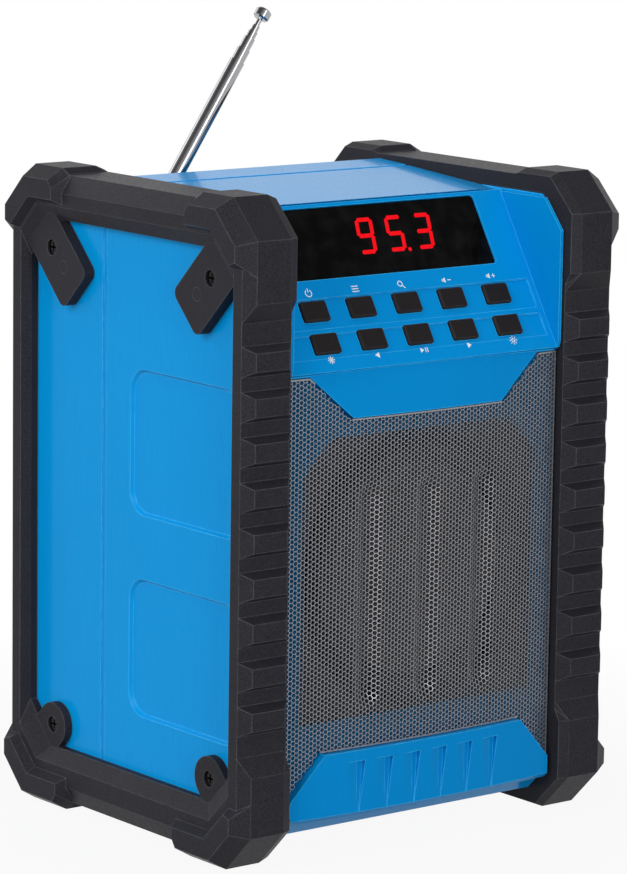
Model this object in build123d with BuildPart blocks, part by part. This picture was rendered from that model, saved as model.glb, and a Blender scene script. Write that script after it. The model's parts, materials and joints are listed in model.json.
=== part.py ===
from build123d import *
import os
from math import asin, atan2, cos, degrees, hypot, radians, sin, sqrt, tan

# Jobsite radio, millimetres.
# The origin is on the ground plane, midway between the two guards and midway from front to back.
# +X is the radio's right as the front is faced, -Y is the front, +Z is up.

# ---------------------------------------------------------------- casing
case_half_depth = 60.6        # outer faces of the casing ends, front and rear
case_bottom = 6.9             # underside above the ground
case_end_top = 217.9          # top of the casing ends
end_top_cut = 7.6             # 45 degree corners of the end profile
end_bottom_cut = 8.3
case_half_width = 73.3        # outer faces of the casing ends, left and right
core_inset = 14.1             # the middle, between the guards, is narrower on each side
front_wall_proud = 0.9        # the middle's front wall stands this far in front of the ends
shell_wall = 2.5
deck_above_ends = 0.2         # front edge of the top deck above the casing ends
plateau_rise = 3.6            # top deck rises this much to its rear edge
rear_slope_run = 24.6         # from the deck's rear edge to the rear wall
seam_y = 19.0                 # the shells part here
seam_reveal_width = 2.3
seam_reveal_depth = 0.5
deck_facet_drop = 1.05        # triangular bevels along the sides of the top deck
facet_past_seam = 4.0
deck_facet_width = 11.3
end_upper_drop = 39.9         # the end faces step in this far below their top
end_upper_step = 0.6
pocket_front_inset = 2.6      # two shallow pockets in each end face
pocket_seam_inset = 14.3
pocket_lower_rise = 33.9      # above the underside of the casing
pocket_lower_height = 48.1
pocket_spacing = 22.1
pocket_upper_height = 50.2
pocket_corner = 8.0
pocket_depth = 1.2
pocket_edge = 0.9
gasket_inset = 0.9            # seam groove, from the outside of the wall
gasket_depth = 0.8

# ---------------------------------------------------------------- fits
seat_gap = 0.3                # loose seats and covers
slip_gap = 0.1                # pieces that are guided closely
pin_gap = 0.05                # radial clearance of pins and screws

# ---------------------------------------------------------------- guards
guard_stand = 6.75            # outer face beyond the casing end
ring_wall = 5.3               # in front of and behind the casing
ring_below = 3.9
ring_above = 5.6
ring_top_cut = 11.4
ring_bottom_cut = 10.4
bar_bevel_run = 3.55          # bevels, back from the outer face
bar_bevel_drop = 6.2
window_side_inset = 0.6       # window edges inside the casing end's outline
window_bottom_inset = 14.1
window_top_inset = 10.3
window_cut = 14.0
window_bevel_run = 3.75
window_bevel = 5.0
window_bevel_side = 1.2
guard_pocket_gap = 0.25
guard_seat_gap = 0.2          # between the guard's web and the casing end
block_proud = 4.0             # corner blocks stand out from the legs
block_above = 2.1             # upper corner blocks above the ring
block_cut = 13.2
block_leg_end = 33.8          # measured from the block's own end plane
block_ramp = 6.5
block_top_bar_end = 40.4
block_foot_bar_end = 36.5
block_bar_ramp = 2.0
block_inner_bevel = 1.5
rib_inner_run = 3.6
rib_outer_run = 3.15
rib_count = 9
rib_low_space = 52.7          # from the ground to the middle of the first rib
rib_high_space = 52.9         # from the middle of the last rib to the block's top
rib_base_height = 10.2
rib_face_height = 6.2
cap_stand = 3.35              # corner caps beyond the guard's outer face
cap_inset = 3.75
cap_band = 6.8
cap_leg_end = 20.1
cap_leg_spread = 4.9
cap_bar_spread = 4.4
tab_stand = 4.5               # outer face of the upper screw tabs, beyond the casing end
tab_width = 19.4
tab_screw_inset = 15.025      # tab screw, in from the casing end's front or rear
tab_screw_drop = 20.175       # and down from its top
tab_reach = 19.6              # along the tab, from the screw to its free end
tab_root = 13.2               # and into the ring
tab_corner = 3.0
lobe_stand = 3.3              # outer face of the lower screw lobes
lobe_radius = 7.8
lobe_screw_inset = 14.7
lobe_screw_rise = 21.8

# ---------------------------------------------------------------- guard screws
guard_head_radius = 2.5
guard_head_height = 1.4
guard_head_sink = 0.8
guard_shank_radius = 1.5
guard_shank_length = 12.0
guard_boss_radius = 4.0
cross_width = 0.75
cross_length = 3.3
cross_depth = 1.0
head_gap = 0.3

# ---------------------------------------------------------------- control panel
panel_tilt = 31.8             # from the vertical
panel_row_inset = 8.7         # upper key row on the panel surface, behind the front wall
panel_row_drop = 33.47        # and below the deck's front edge
panel_thickness = 2.4
slope_depth = 3.3            # shell's slope below the panel surface
panel_top_s = 39.0            # distances up the panel from the upper key row
panel_nose_drop = 18.63       # the panel's lower edge below the upper key row
cheek_thickness = 1.2
cheek_top_drop = 1.1
cheek_front_stand = 3.5
cheek_cut_depth = 8.9
cheek_cut_height = 10.5
cheek_foot_rise = 2.0
strip_side_inset = 3.4
strip_depth = 0.5
strip_above = 4.5
strip_below = 6.4
lower_strip_below = 5.2
lower_strip_above = 3.2
key_width = 10.9
key_height = 7.3
key_corner = 0.8
key_bevel = 0.4
key_proud = 0.7
key_pitch = 19.85
key_row_drop = 11.8
key_travel = 0.8
key_flange = 1.0
key_flange_thickness = 0.8
key_stem_radius = 1.8
window_low_s = 11.3
window_high_s = 37.3
window_half_width = 44.6
window_corner = 1.5
pane_recess = 0.7
pane_thickness = 1.2
pane_ledge = 1.2
fascia_boss_radius = 2.5
fascia_boss_inset = 4.9
fascia_boss_low_s = -14.0
fascia_boss_high_s = 33.0
board_depth = 8.5             # control board's front face below the panel surface
board_thickness = 1.6
board_half_width = 49.4
board_low_s = -18.0
board_high_s = 36.5
board_post_radius = 2.6
board_post_high_x = 46.5
board_post_high_s = 33.0
switch_size = 6.0
switch_height = 2.2
switch_button_radius = 1.6
switch_button_height = 0.7
module_half_width = 29.0
module_low_s = 14.0
module_high_s = 34.5
cut_clear = 1.0               # cutters reach this far past what they cut
board_screw_bite = 4.9        # threaded length into a post
digit_height = 13.7
digit_width = 7.4
digit_pitch = 12.4
digit_stroke = 1.5
digit_relief = 0.3
small_screw_radius = 1.2
small_head_radius = 2.2
small_head_height = 1.4

# ---------------------------------------------------------------- apron, grille, lower fascia
crown_radius = 540.0          # the front bows forward about a vertical axis
nose_crown_radius = 3000.0    # nearly straight along the panel's nose
apron_height = 15.0
apron_bottom_half = 32.3
apron_top_half = 49.6
apron_shoulder_drop = 1.2      # shoulder below the panel's nose
apron_side_inset = 1.5
apron_bottom_stand = 4.9      # in front of the front wall
apron_top_stand = 2.1
grille_side_inset = 0.6
grille_bottom = 18.0
grille_stand = 4.7
grille_sheet = 0.8
grille_gap = 0.3
groove_half_pitch = 24.9
groove_low_inset = 32.2       # from the grille's lower edge
groove_high_inset = 37.0      # and from its upper edge
groove_width = 10.4
groove_floor = 2.6
groove_depth = 1.5
fascia_stand = 6.9
fascia_bottom_z = 13.4
fascia_side_height = 7.9
fascia_height = 22.9
fascia_side_inset = 2.0
fascia_side_cut = 14.0        # the sloping sides lean in this much
fascia_corner = 4.0
fascia_foot_bevel = 1.5
wedge_pitch = 11.75
wedge_count = 6
wedge_scoop = 7.4             # shallow slope beside each slot
wedge_scoop_depth = 0.7
wedge_width = 2.6
wedge_tip_width = 0.5
wedge_lean = 2.6
wedge_depth = 1.8
wedge_top_drop = 3.8

# ---------------------------------------------------------------- speaker
speaker_drop = 71.5           # speaker's axis below the panel's nose
opening_side_gap = 2.5        # wall opening around the speaker's flange
opening_end_gap = 0.5
opening_cut = 12.0
baffle_side_gap = 2.7         # baffle inside the casing's side wall
baffle_margin = 5.0
baffle_thickness = 3.0
flange_radius = 48.0
flange_thickness = 2.0
flange_inset = 4.2
cone_hole_radius = 43.0
speaker_screw_ring = 45.6
surround_sheet = 0.6
surround_lip = 1.0
cone_edge_radius = 36.8
cone_sheet = 0.6
cone_depth = 17.0
coil_inner_radius = 9.6
coil_wall = 0.5
coil_length = 14.0
air_gap = 0.4
cap_radius = 13.0
cap_height = 4.0
cap_seat = 0.4
basket_sheet = 1.5
basket_neck_radius = 27.0
basket_depth = 26.0
basket_windows = 6
basket_window_radius = 6.8
spider_thickness = 0.6
top_plate_thickness = 3.0
top_plate_radius = 26.0
magnet_radius = 31.0
magnet_inner_radius = 14.0
magnet_thickness = 12.0
yoke_radius = 27.0
yoke_thickness = 4.0

# ---------------------------------------------------------------- battery bay
cell_radius = 13.0
cell_length = 50.0
cell_nub_radius = 3.0
cell_nub_length = 1.5
tray_wall = 1.6
tray_spring_room = 3.5
tray_bottom = 28.0
contact_plate = 0.5
contact_radius = 9.0
bay_opening_margin = 1.5
cover_thickness = 2.0
barrel_radius = 1.5
hinge_pin_radius = 0.6
lug_length = 4.0
door_overlap = 1.5
door_finger_width = 22.0
door_finger_depth = 0.8

# ---------------------------------------------------------------- ports and main board
port_x = -25.0
port_z = 126.0
port_recess_width = 36.0
port_recess_height = 18.0
port_plate_lap = 3.0
port_plate_thickness = 2.5
dc_x = -34.0
dc_nose_radius = 4.6
dc_bore_radius = 3.1
dc_bore_depth = 9.0
dc_pin_radius = 1.0
dc_body_size = 11.0
usb_x = -16.0
usb_width = 13.1
usb_height = 5.7
usb_sheet = 0.5
usb_depth = 11.0
usb_tongue = 1.8
aux_x = 22.0
aux_bushing_radius = 4.0
aux_bore_radius = 1.8
aux_bore_depth = 14.0
aux_body_size = 11.0
aux_bushing_proud = 2.0
aux_nut_radius = 6.0
aux_nut_thickness = 1.6
main_board_setback = 12.5     # in front of the rear wall's inside
main_board_thickness = 1.6
main_board_half_width = 50.0
main_board_bottom = 98.0
main_board_height = 52.0
main_post_radius = 3.0
main_post_inset = 6.0

# ---------------------------------------------------------------- shell screws
post_inset = 7.1
post_low_rise = 39.1
post_high_drop = 33.9
post_radius = 3.8
shell_screw_radius = 1.5
shell_head_radius = 2.8
shell_head_height = 2.2
shell_bore_radius = 3.0
shell_bore_end = 7.0
post_step = 0.5               # rear posts are this much larger in radius
shell_screw_length = 20.0

# ---------------------------------------------------------------- antenna
antenna_x = -30.3
antenna_drop = 23.5           # along the rear slope from the deck's rear edge
antenna_height = 4.27         # pivot above the rear slope
antenna_lean = 34.2           # from the vertical, towards +X
turret_flange_radius = 6.5
turret_flange_thickness = 0.8
turret_shank_radius = 4.0
turret_cheek_width = 1.7
turret_cheek_radius = 2.7
tang_width = 2.4
tang_radius = 2.6
antenna_pin_radius = 1.25
retainer_radius = 6.2
retainer_thickness = 1.6
ferrule_start = 4.0
ferrule_end = 7.0
tube_end = 64.9               # along the antenna from its pivot
tube_radius = 2.75
tube_step = 0.35
tube_wall = 0.25
tube_exposed = [5.1, 4.6, 2.8, 2.4]
tube_stagger = 2.0
rod_radius = 0.9
rod_exposed = 2.9
tip_radius = 2.95
tip_length = 3.7
tip_bevel = 0.6

os.makedirs("parts", exist_ok=True)

# ---------------------------------------------------------------- derived values
tilt_sin = sin(radians(panel_tilt))
tilt_cos = cos(radians(panel_tilt))
core_half_width = case_half_width - core_inset
plateau_front_z = case_end_top + deck_above_ends
plateau_rear_y = case_half_depth - rear_slope_run
facet_rear_y = seam_y + facet_past_seam
end_upper_z = case_end_top - end_upper_drop
pocket_front_y = -case_half_depth + pocket_front_inset
pocket_rear_y = seam_y - pocket_seam_inset
pocket_lower_bottom = case_bottom + pocket_lower_rise
pocket_lower_top = pocket_lower_bottom + pocket_lower_height
pocket_upper_bottom = pocket_lower_top + pocket_spacing
pocket_upper_top = pocket_upper_bottom + pocket_upper_height
front_face = case_half_depth + front_wall_proud
front_inner = front_face - shell_wall
rear_inner = case_half_depth - shell_wall
rear_slope_bottom_z = plateau_front_z + plateau_rise - rear_slope_run * tilt_cos / tilt_sin
panel_y = panel_row_inset - front_face
panel_z = plateau_front_z - panel_row_drop
panel_nose_z = panel_z - panel_nose_drop
panel_half_width = core_half_width - seat_gap
panel_plane = Plane(origin=(0, panel_y, panel_z), x_dir=(1, 0, 0), z_dir=(0, -tilt_cos, tilt_sin))
nose_s = (panel_nose_z - panel_z) / tilt_cos
row_lower_s = -key_row_drop
cheek_top_z = plateau_front_z - cheek_top_drop
cheek_front_y = -front_face - cheek_front_stand
strip_half_width = panel_half_width - strip_side_inset
fascia_boss_x = panel_half_width - fascia_boss_inset
apron_shoulder_z = panel_nose_z - apron_shoulder_drop
apron_bottom_z = apron_shoulder_z - apron_height
apron_wide_half = panel_half_width - apron_side_inset
apron_bottom_y = -front_face - apron_bottom_stand
apron_top_y = -front_face - apron_top_stand
grille_half_width = core_half_width - grille_side_inset
grille_top = apron_shoulder_z - grille_gap
grille_front_y = -front_face - grille_stand
groove_bottom = grille_bottom + groove_low_inset
groove_top = grille_top - groove_high_inset
fascia_front_y = -front_face - fascia_stand
fascia_shoulder_z = fascia_bottom_z + fascia_side_height
fascia_top_z = fascia_bottom_z + fascia_height
fascia_half = core_half_width - fascia_side_inset
fascia_top_half = fascia_half - fascia_side_cut
speaker_z = panel_nose_z - speaker_drop
opening_half_width = flange_radius + opening_side_gap
opening_bottom = speaker_z - flange_radius - opening_end_gap
opening_top = speaker_z + flange_radius + opening_end_gap
baffle_half_width = core_half_width - shell_wall - baffle_side_gap
main_board_y = rear_inner - main_board_setback
main_board_top = main_board_bottom + main_board_height
post_x = case_half_width - post_inset
post_low_z = case_bottom + post_low_rise
post_high_z = case_end_top - post_high_drop
guard_inner_x = core_half_width + seat_gap
guard_outer_x = case_half_width + guard_stand
ring_half_depth = case_half_depth + ring_wall
ring_bottom = case_bottom - ring_below
ring_top = case_end_top + ring_above
bar_bevel_start_x = guard_outer_x - bar_bevel_run
window_bevel_start_x = guard_outer_x - window_bevel_run
window_half_depth = case_half_depth - window_side_inset
window_bottom = case_bottom + window_bottom_inset
window_top = case_end_top - window_top_inset
block_top = ring_top + block_above
rib_face_inner_x = guard_inner_x + rib_inner_run
rib_face_outer_x = guard_outer_x - rib_outer_run
rib_pitch = (block_top - rib_high_space - rib_low_space) / (rib_count - 1)
cap_outer_x = guard_outer_x + cap_stand
tab_outer_x = case_half_width + tab_stand
lobe_outer_x = case_half_width + lobe_stand
tab_screw_y = case_half_depth - tab_screw_inset
tab_screw_z = case_end_top - tab_screw_drop
lobe_y = case_half_depth - lobe_screw_inset
lobe_z = case_bottom + lobe_screw_rise


def panel_point(s, depth):
    """Side view (y, z) of a place s up the panel and depth below its surface."""
    return (panel_y + s * tilt_sin + depth * tilt_cos, panel_z + s * tilt_cos - depth * tilt_sin)


def octagon(half_depth, bottom, top, bottom_cut, top_cut):
    """Side outline with 45 degree corners, the same front and rear."""
    return [
        (-half_depth, bottom + bottom_cut),
        (-half_depth + bottom_cut, bottom),
        (half_depth - bottom_cut, bottom),
        (half_depth, bottom + bottom_cut),
        (half_depth, top - top_cut),
        (half_depth - top_cut, top),
        (-half_depth + top_cut, top),
        (-half_depth, top - top_cut),
    ]


def outline_face(points, inset=0.0):
    """Side outline, moved inwards by a wall."""
    with BuildSketch(Plane.YZ, mode=Mode.PRIVATE) as outline:
        Polygon(*points, align=None)
        if inset != 0:
            offset(amount=-inset, kind=Kind.INTERSECTION, mode=Mode.REPLACE)
    return outline.sketch


def slab_x(face, x_from, x_to):
    """Side outline extruded between two x positions."""
    with BuildPart(mode=Mode.PRIVATE) as slab:
        extrude(to_extrude=Pos(x_from, 0, 0) * face, amount=x_to - x_from, dir=(1, 0, 0))
    return slab.part


def block_xyz(x_range, y_range, z_range):
    """Box between two corners."""
    with BuildPart(mode=Mode.PRIVATE) as block:
        with Locations((x_range[0], y_range[0], z_range[0])):
            Box(x_range[1] - x_range[0], y_range[1] - y_range[0], z_range[1] - z_range[0],
                align=(Align.MIN, Align.MIN, Align.MIN))
    return block.part


def rod_between(x, z, radius, y_from, y_to):
    """Round bar along Y."""
    with BuildPart(mode=Mode.PRIVATE) as bar:
        with BuildSketch(Plane(origin=(x, y_from, z), x_dir=(1, 0, 0), z_dir=(0, 1, 0))):
            Circle(radius)
        extrude(amount=y_to - y_from)
    return bar.part


def rod_along_x(y, z, radius, x_from, x_to):
    """Round bar along X."""
    with BuildPart(mode=Mode.PRIVATE) as bar:
        with BuildSketch(Plane(origin=(x_from, y, z), x_dir=(0, 1, 0), z_dir=(1, 0, 0))):
            Circle(radius)
        extrude(amount=x_to - x_from)
    return bar.part


def rod_along(plane, radius, start, end):
    """Round bar along a plane's normal, between two heights."""
    with BuildPart(mode=Mode.PRIVATE) as bar:
        with BuildSketch(plane.offset(start)):
            Circle(radius)
        extrude(amount=end - start)
    return bar.part


def panel_block(x_range, s_range, depth_range, corner=0.0):
    """Block on the control panel, from one depth to a deeper one."""
    width = x_range[1] - x_range[0]
    height = s_range[1] - s_range[0]
    with BuildPart(mode=Mode.PRIVATE) as block:
        with BuildSketch(panel_plane.offset(-depth_range[1])):
            with Locations(((x_range[0] + x_range[1]) / 2, (s_range[0] + s_range[1]) / 2)):
                if corner > 0:
                    RectangleRounded(width, height, corner)
                else:
                    Rectangle(width, height)
        extrude(amount=depth_range[1] - depth_range[0])
    return block.part


def panel_rod(x, s, radius, depth_from, depth_to):
    """Round bar square to the control panel."""
    with BuildPart(mode=Mode.PRIVATE) as bar:
        with BuildSketch(panel_plane.offset(-depth_to)):
            with Locations((x, s)):
                Circle(radius)
        extrude(amount=depth_to - depth_from)
    return bar.part


def crown_y(front_y, x, radius=crown_radius):
    """The bowed front at x, where the middle stands at front_y."""
    return front_y + radius - sqrt(radius ** 2 - x ** 2)


def crown_face(z, front_y, back_y, half_width, radius=crown_radius):
    """Plan view of a bowed front with a flat back."""
    edge_y = crown_y(front_y, half_width, radius)
    with BuildSketch(Plane.XY.offset(z), mode=Mode.PRIVATE) as face:
        with BuildLine():
            ThreePointArc((-half_width, edge_y), (0, front_y), (half_width, edge_y))
            Polyline((half_width, edge_y), (half_width, back_y), (-half_width, back_y), (-half_width, edge_y))
        make_face()
    return face.sketch


def crown_band(z_range, front_y, thickness, half_width):
    """Bowed sheet of even thickness."""
    edge_y = crown_y(front_y, half_width)
    with BuildPart(mode=Mode.PRIVATE) as band:
        with BuildSketch(Plane.XY.offset(z_range[0])):
            with BuildLine():
                ThreePointArc((-half_width, edge_y), (0, front_y), (half_width, edge_y))
                Line((half_width, edge_y), (half_width, edge_y + thickness))
                ThreePointArc((half_width, edge_y + thickness), (0, front_y + thickness),
                              (-half_width, edge_y + thickness))
                Line((-half_width, edge_y + thickness), (-half_width, edge_y))
            make_face()
        extrude(amount=z_range[1] - z_range[0])
    return band.part


def front_prism(points, y_from, y_to, corner=0.0, corner_count=0):
    """Front view outline extruded between two y positions."""
    with BuildPart(mode=Mode.PRIVATE) as prism:
        with BuildSketch(Plane(origin=(0, y_to, 0), x_dir=(1, 0, 0), z_dir=(0, -1, 0))) as outline:
            Polygon(*points, align=None)
            if corner > 0:
                fillet(outline.vertices().sort_by(Axis.Z)[-corner_count:], radius=corner)
        extrude(amount=y_to - y_from)
    return prism.part


# ---------------------------------------------------------------- casing outlines
end_points = octagon(case_half_depth, case_bottom, case_end_top, end_bottom_cut, end_top_cut)
lip_y = panel_point(panel_top_s, 0)[0]
slope_foot_s = (-front_face - panel_y - slope_depth * tilt_cos) / tilt_sin
core_points = [
    (-front_face, case_bottom + end_bottom_cut),
    (-front_face + end_bottom_cut, case_bottom),
    (case_half_depth - end_bottom_cut, case_bottom),
    (case_half_depth, case_bottom + end_bottom_cut),
    (case_half_depth, rear_slope_bottom_z),
    (plateau_rear_y, plateau_front_z + plateau_rise),
    (lip_y, plateau_front_z),
    panel_point(panel_top_s, slope_depth),
    panel_point(slope_foot_s, slope_depth),
]


def case_block(inset):
    """Outside of the whole casing, or the same moved inwards."""
    core_half = core_half_width - inset
    end_half = case_half_width - inset
    core = slab_x(outline_face(core_points, inset), -core_half, core_half)
    end_face = outline_face(end_points, inset)
    left_end = slab_x(end_face, -end_half, -core_half_width - inset)
    right_end = slab_x(end_face, core_half_width + inset, end_half)
    if inset == 0:
        return core + left_end + right_end
    link_face = outline_face(core_points, inset) & end_face
    link_half = core_half_width + inset
    return core + slab_x(link_face, -link_half, link_half) + left_end + right_end


deck_rear_z = plateau_front_z + plateau_rise
facet_rear_z = plateau_front_z + plateau_rise * (facet_rear_y - lip_y) / (plateau_rear_y - lip_y)
facet_rear = Vector(core_half_width, facet_rear_y, facet_rear_z)
facet_front_in = Vector(core_half_width - deck_facet_width, lip_y, plateau_front_z)
facet_front_out = Vector(core_half_width, lip_y, plateau_front_z - deck_facet_drop)
facet_normal = (facet_front_in - facet_rear).cross(facet_front_out - facet_rear).normalized()
if facet_normal.Z < 0:
    facet_normal = -facet_normal
facet_plane = Plane(origin=facet_rear, z_dir=facet_normal)
with BuildPart() as facet_cut:
    with BuildSketch(Plane.YZ.offset(core_half_width - 2 * deck_facet_width)):
        with Locations((lip_y, plateau_front_z - 2 * deck_facet_drop)):
            Rectangle(facet_rear_y - lip_y + plateau_rise, 4 * plateau_rise, align=(Align.MIN, Align.MIN))
    extrude(amount=2 * deck_facet_width)
    split(bisect_by=facet_plane, keep=Keep.TOP)
facet_cuts = facet_cut.part + mirror(facet_cut.part, about=Plane.YZ)


def end_pocket(bottom, top):
    """Shallow pocket with soft edges, cut into the right end face."""
    wide = pocket_rear_y - pocket_front_y
    tall = top - bottom
    with BuildPart(mode=Mode.PRIVATE) as pocket:
        for depth, grow in ((pocket_depth, 0.0), (0.0, pocket_edge)):
            with BuildSketch(Plane.YZ.offset(case_half_width - depth)):
                with Locations(((pocket_front_y + pocket_rear_y) / 2, (bottom + top) / 2)):
                    RectangleRounded(wide + 2 * grow - 2 * pocket_edge, tall + 2 * grow - 2 * pocket_edge,
                                     pocket_corner)
        loft()
    return pocket.part


# ---------------------------------------------------------------- shells
guard_screw_places = []
for y_side in (-1, 1):
    guard_screw_places.append((y_side * tab_screw_y, tab_screw_z, tab_outer_x))
    guard_screw_places.append((y_side * lobe_y, lobe_z, lobe_outer_x))
end_inner_x = case_half_width - shell_wall
end_cavity_x = core_half_width + shell_wall

case_outer = case_block(0)
case_cavity = case_block(shell_wall)
case_shell = case_outer - case_cavity
case_shell -= slab_x(outline_face(octagon(case_half_depth + front_wall_proud, end_upper_z, ring_top,
                                          front_wall_proud, front_wall_proud)),
                     case_half_width - end_upper_step, case_half_width + end_upper_step)
right_pockets = end_pocket(pocket_lower_bottom, pocket_lower_top)
right_pockets += end_pocket(pocket_upper_bottom, pocket_upper_top)
case_shell -= right_pockets
case_shell -= mirror(right_pockets, about=Plane.YZ)
for screw_y, screw_z, _ in guard_screw_places:
    for side in (-1, 1):
        boss = rod_along_x(screw_y, screw_z, guard_boss_radius, side * end_cavity_x, side * end_inner_x)
        case_shell += boss
for screw_y, screw_z, _ in guard_screw_places:
    for side in (-1, 1):
        case_shell -= rod_along_x(screw_y, screw_z, guard_shank_radius + pin_gap,
                                  side * (end_cavity_x + front_wall_proud),
                                  side * (case_half_width + shell_wall))
seam_band = block_xyz((-2 * case_half_width, 2 * case_half_width), (seam_y, seam_y + seam_reveal_width),
                      (-ring_top, 2 * ring_top))
seam_cut = (case_outer & seam_band) - (case_block(seam_reveal_depth) & seam_band)
front_half = block_xyz((-2 * case_half_width, 2 * case_half_width), (-2 * ring_half_depth, seam_y),
                       (-ring_top, 2 * ring_top))
rear_half = block_xyz((-2 * case_half_width, 2 * case_half_width), (seam_y, 2 * ring_half_depth),
                      (-ring_top, 2 * ring_top))
gasket_outer = gasket_inset
gasket_inner = gasket_inset + gasket_depth
gasket_band = block_xyz((-2 * case_half_width, 2 * case_half_width), (seam_y - gasket_outer, seam_y),
                        (-ring_top, 2 * ring_top))
gasket_ring = (case_block(gasket_outer) & gasket_band) - (case_block(gasket_inner) & gasket_band)

opening_points = [
    (-opening_half_width, opening_bottom),
    (opening_half_width, opening_bottom),
    (opening_half_width, opening_top - opening_cut),
    (opening_half_width - opening_cut, opening_top),
    (-opening_half_width + opening_cut, opening_top),
    (-opening_half_width, opening_top - opening_cut),
]
post_places = []
for side in (-1, 1):
    post_places.append((side * post_x, post_low_z))
    post_places.append((side * post_x, post_high_z))
fascia_boss_places = []
for side in (-1, 1):
    fascia_boss_places.append((side * fascia_boss_x, fascia_boss_low_s))
    fascia_boss_places.append((side * fascia_boss_x, fascia_boss_high_s))

with BuildPart() as front_shell:
    add(case_shell & front_half)
    add(facet_cuts, mode=Mode.SUBTRACT)
    add(gasket_ring, mode=Mode.SUBTRACT)
    add(front_prism(opening_points, -2 * front_face, -front_inner + shell_wall), mode=Mode.SUBTRACT)
    add(panel_block((-board_half_width - seat_gap, board_half_width + seat_gap),
                    (board_low_s - seat_gap, board_high_s + seat_gap),
                    (0, slope_depth + 2 * shell_wall)), mode=Mode.SUBTRACT)
    for boss_x, boss_s in fascia_boss_places:
        add(panel_rod(boss_x, boss_s, small_screw_radius + pin_gap, 0, slope_depth + 2 * shell_wall),
            mode=Mode.SUBTRACT)
    for x, z in post_places:
        add(rod_between(x, z, post_radius, -rear_inner, seam_y))
    for x, z in post_places:
        add(rod_between(x, z, shell_screw_radius + pin_gap, seam_y - shell_screw_length, seam_y),
            mode=Mode.SUBTRACT)
front_shell.part.label = "front_shell"

with BuildPart() as shell_gasket:
    add(gasket_ring)
    add(facet_cuts, mode=Mode.SUBTRACT)
shell_gasket.part.label = "shell_gasket"

# battery bay sizes, shared by the rear shell, tray, cells and door
tray_inner_half = cell_length + tray_spring_room
tray_inner_height = 4 * cell_radius + 3 * seat_gap
tray_top = tray_bottom + tray_inner_height
tray_floor_y = rear_inner - 2 * cell_radius - cover_thickness - 2 * seat_gap
bay_half_width = tray_inner_half - bay_opening_margin
hinge_y = case_half_depth + seat_gap + barrel_radius
door_axis_z = tray_bottom - door_overlap - 2 * barrel_radius
recess_x = (port_x - port_recess_width / 2, port_x + port_recess_width / 2)
recess_z = (port_z - port_recess_height / 2, port_z + port_recess_height / 2)
flap_axis_z = recess_z[1] + door_overlap + 2 * barrel_radius
door_barrel_half = bay_half_width - 2 * lug_length
flap_barrel_x = (recess_x[0] + lug_length, recess_x[1] - lug_length)
rear_screw_head_y = seam_y + shell_bore_end

# antenna directions
slope_normal = Vector(0, tilt_cos, tilt_sin)
antenna_dir = Vector(sin(radians(antenna_lean)), 0, cos(radians(antenna_lean)))
hinge_dir = slope_normal.cross(antenna_dir).normalized()
turret_foot = Vector(antenna_x, plateau_rear_y + antenna_drop * tilt_sin,
                     deck_rear_z - antenna_drop * tilt_cos)
pivot = turret_foot + slope_normal * antenna_height
turret_plane = Plane(origin=turret_foot, x_dir=hinge_dir, z_dir=slope_normal)
antenna_plane = Plane(origin=pivot, x_dir=hinge_dir, z_dir=antenna_dir)
hinge_plane = Plane(origin=pivot, x_dir=antenna_dir, z_dir=hinge_dir)
main_post_places = []
for side in (-1, 1):
    for z in (main_board_bottom + main_post_inset, main_board_top - main_post_inset):
        main_post_places.append((side * (main_board_half_width - main_post_inset), z))


def hinge_lug(x_range, axis_z):
    """Lug on the rear wall that carries one end of a hinge pin."""
    lug = rod_along_x(hinge_y, axis_z, barrel_radius, x_range[0], x_range[1])
    lug += block_xyz(x_range, (case_half_depth - pin_gap, hinge_y),
                     (axis_z - barrel_radius, axis_z + barrel_radius))
    return lug


with BuildPart() as rear_shell:
    add(case_shell & rear_half)
    add(facet_cuts, mode=Mode.SUBTRACT)
    add(seam_cut, mode=Mode.SUBTRACT)
    add(block_xyz((-bay_half_width, bay_half_width), (rear_inner - shell_wall, case_half_depth + shell_wall),
                  (tray_bottom, tray_top)), mode=Mode.SUBTRACT)
    add(block_xyz(recess_x, (rear_inner - shell_wall, case_half_depth + shell_wall), recess_z),
        mode=Mode.SUBTRACT)
    add(rod_between(aux_x, port_z, aux_bushing_radius + slip_gap, rear_inner - shell_wall,
                    case_half_depth + shell_wall), mode=Mode.SUBTRACT)
    add(rod_along(turret_plane, turret_shank_radius + pin_gap, -2 * shell_wall, shell_wall),
        mode=Mode.SUBTRACT)
    for x, z in main_post_places:
        add(rod_between(x, z, main_post_radius, main_board_y, rear_inner))
    for x, z in main_post_places:
        add(rod_between(x, z, small_screw_radius + pin_gap, main_board_y - shell_wall, rear_inner - pin_gap),
            mode=Mode.SUBTRACT)
    for x, z in post_places:
        add(rod_between(x, z, post_radius + post_step, seam_y, rear_inner + pin_gap))
    for x, z in post_places:
        add(rod_between(x, z, shell_screw_radius + pin_gap, seam_y, case_half_depth + shell_wall),
            mode=Mode.SUBTRACT)
        add(rod_between(x, z, shell_bore_radius, rear_screw_head_y, case_half_depth + shell_wall),
            mode=Mode.SUBTRACT)
    for side in (-1, 1):
        lug_x = sorted((side * (door_barrel_half + seat_gap),
                        side * (door_barrel_half + seat_gap + lug_length)))
        add(hinge_lug(lug_x, door_axis_z))
        add(rod_along_x(hinge_y, door_axis_z, hinge_pin_radius + pin_gap, lug_x[0], lug_x[1]),
            mode=Mode.SUBTRACT)
    for lug_x in ((recess_x[0] - seat_gap, flap_barrel_x[0] - seat_gap),
                  (flap_barrel_x[1] + seat_gap, recess_x[1] + seat_gap)):
        add(hinge_lug(lug_x, flap_axis_z))
        add(rod_along_x(hinge_y, flap_axis_z, hinge_pin_radius + pin_gap, lug_x[0], lug_x[1]),
            mode=Mode.SUBTRACT)
    # the two end caps are mouldings of their own, welded to the middle beside the antenna's recess
    for weld_x in (-core_half_width, core_half_width):
        split(bisect_by=Plane.YZ.offset(weld_x), keep=Keep.BOTH)
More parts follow.
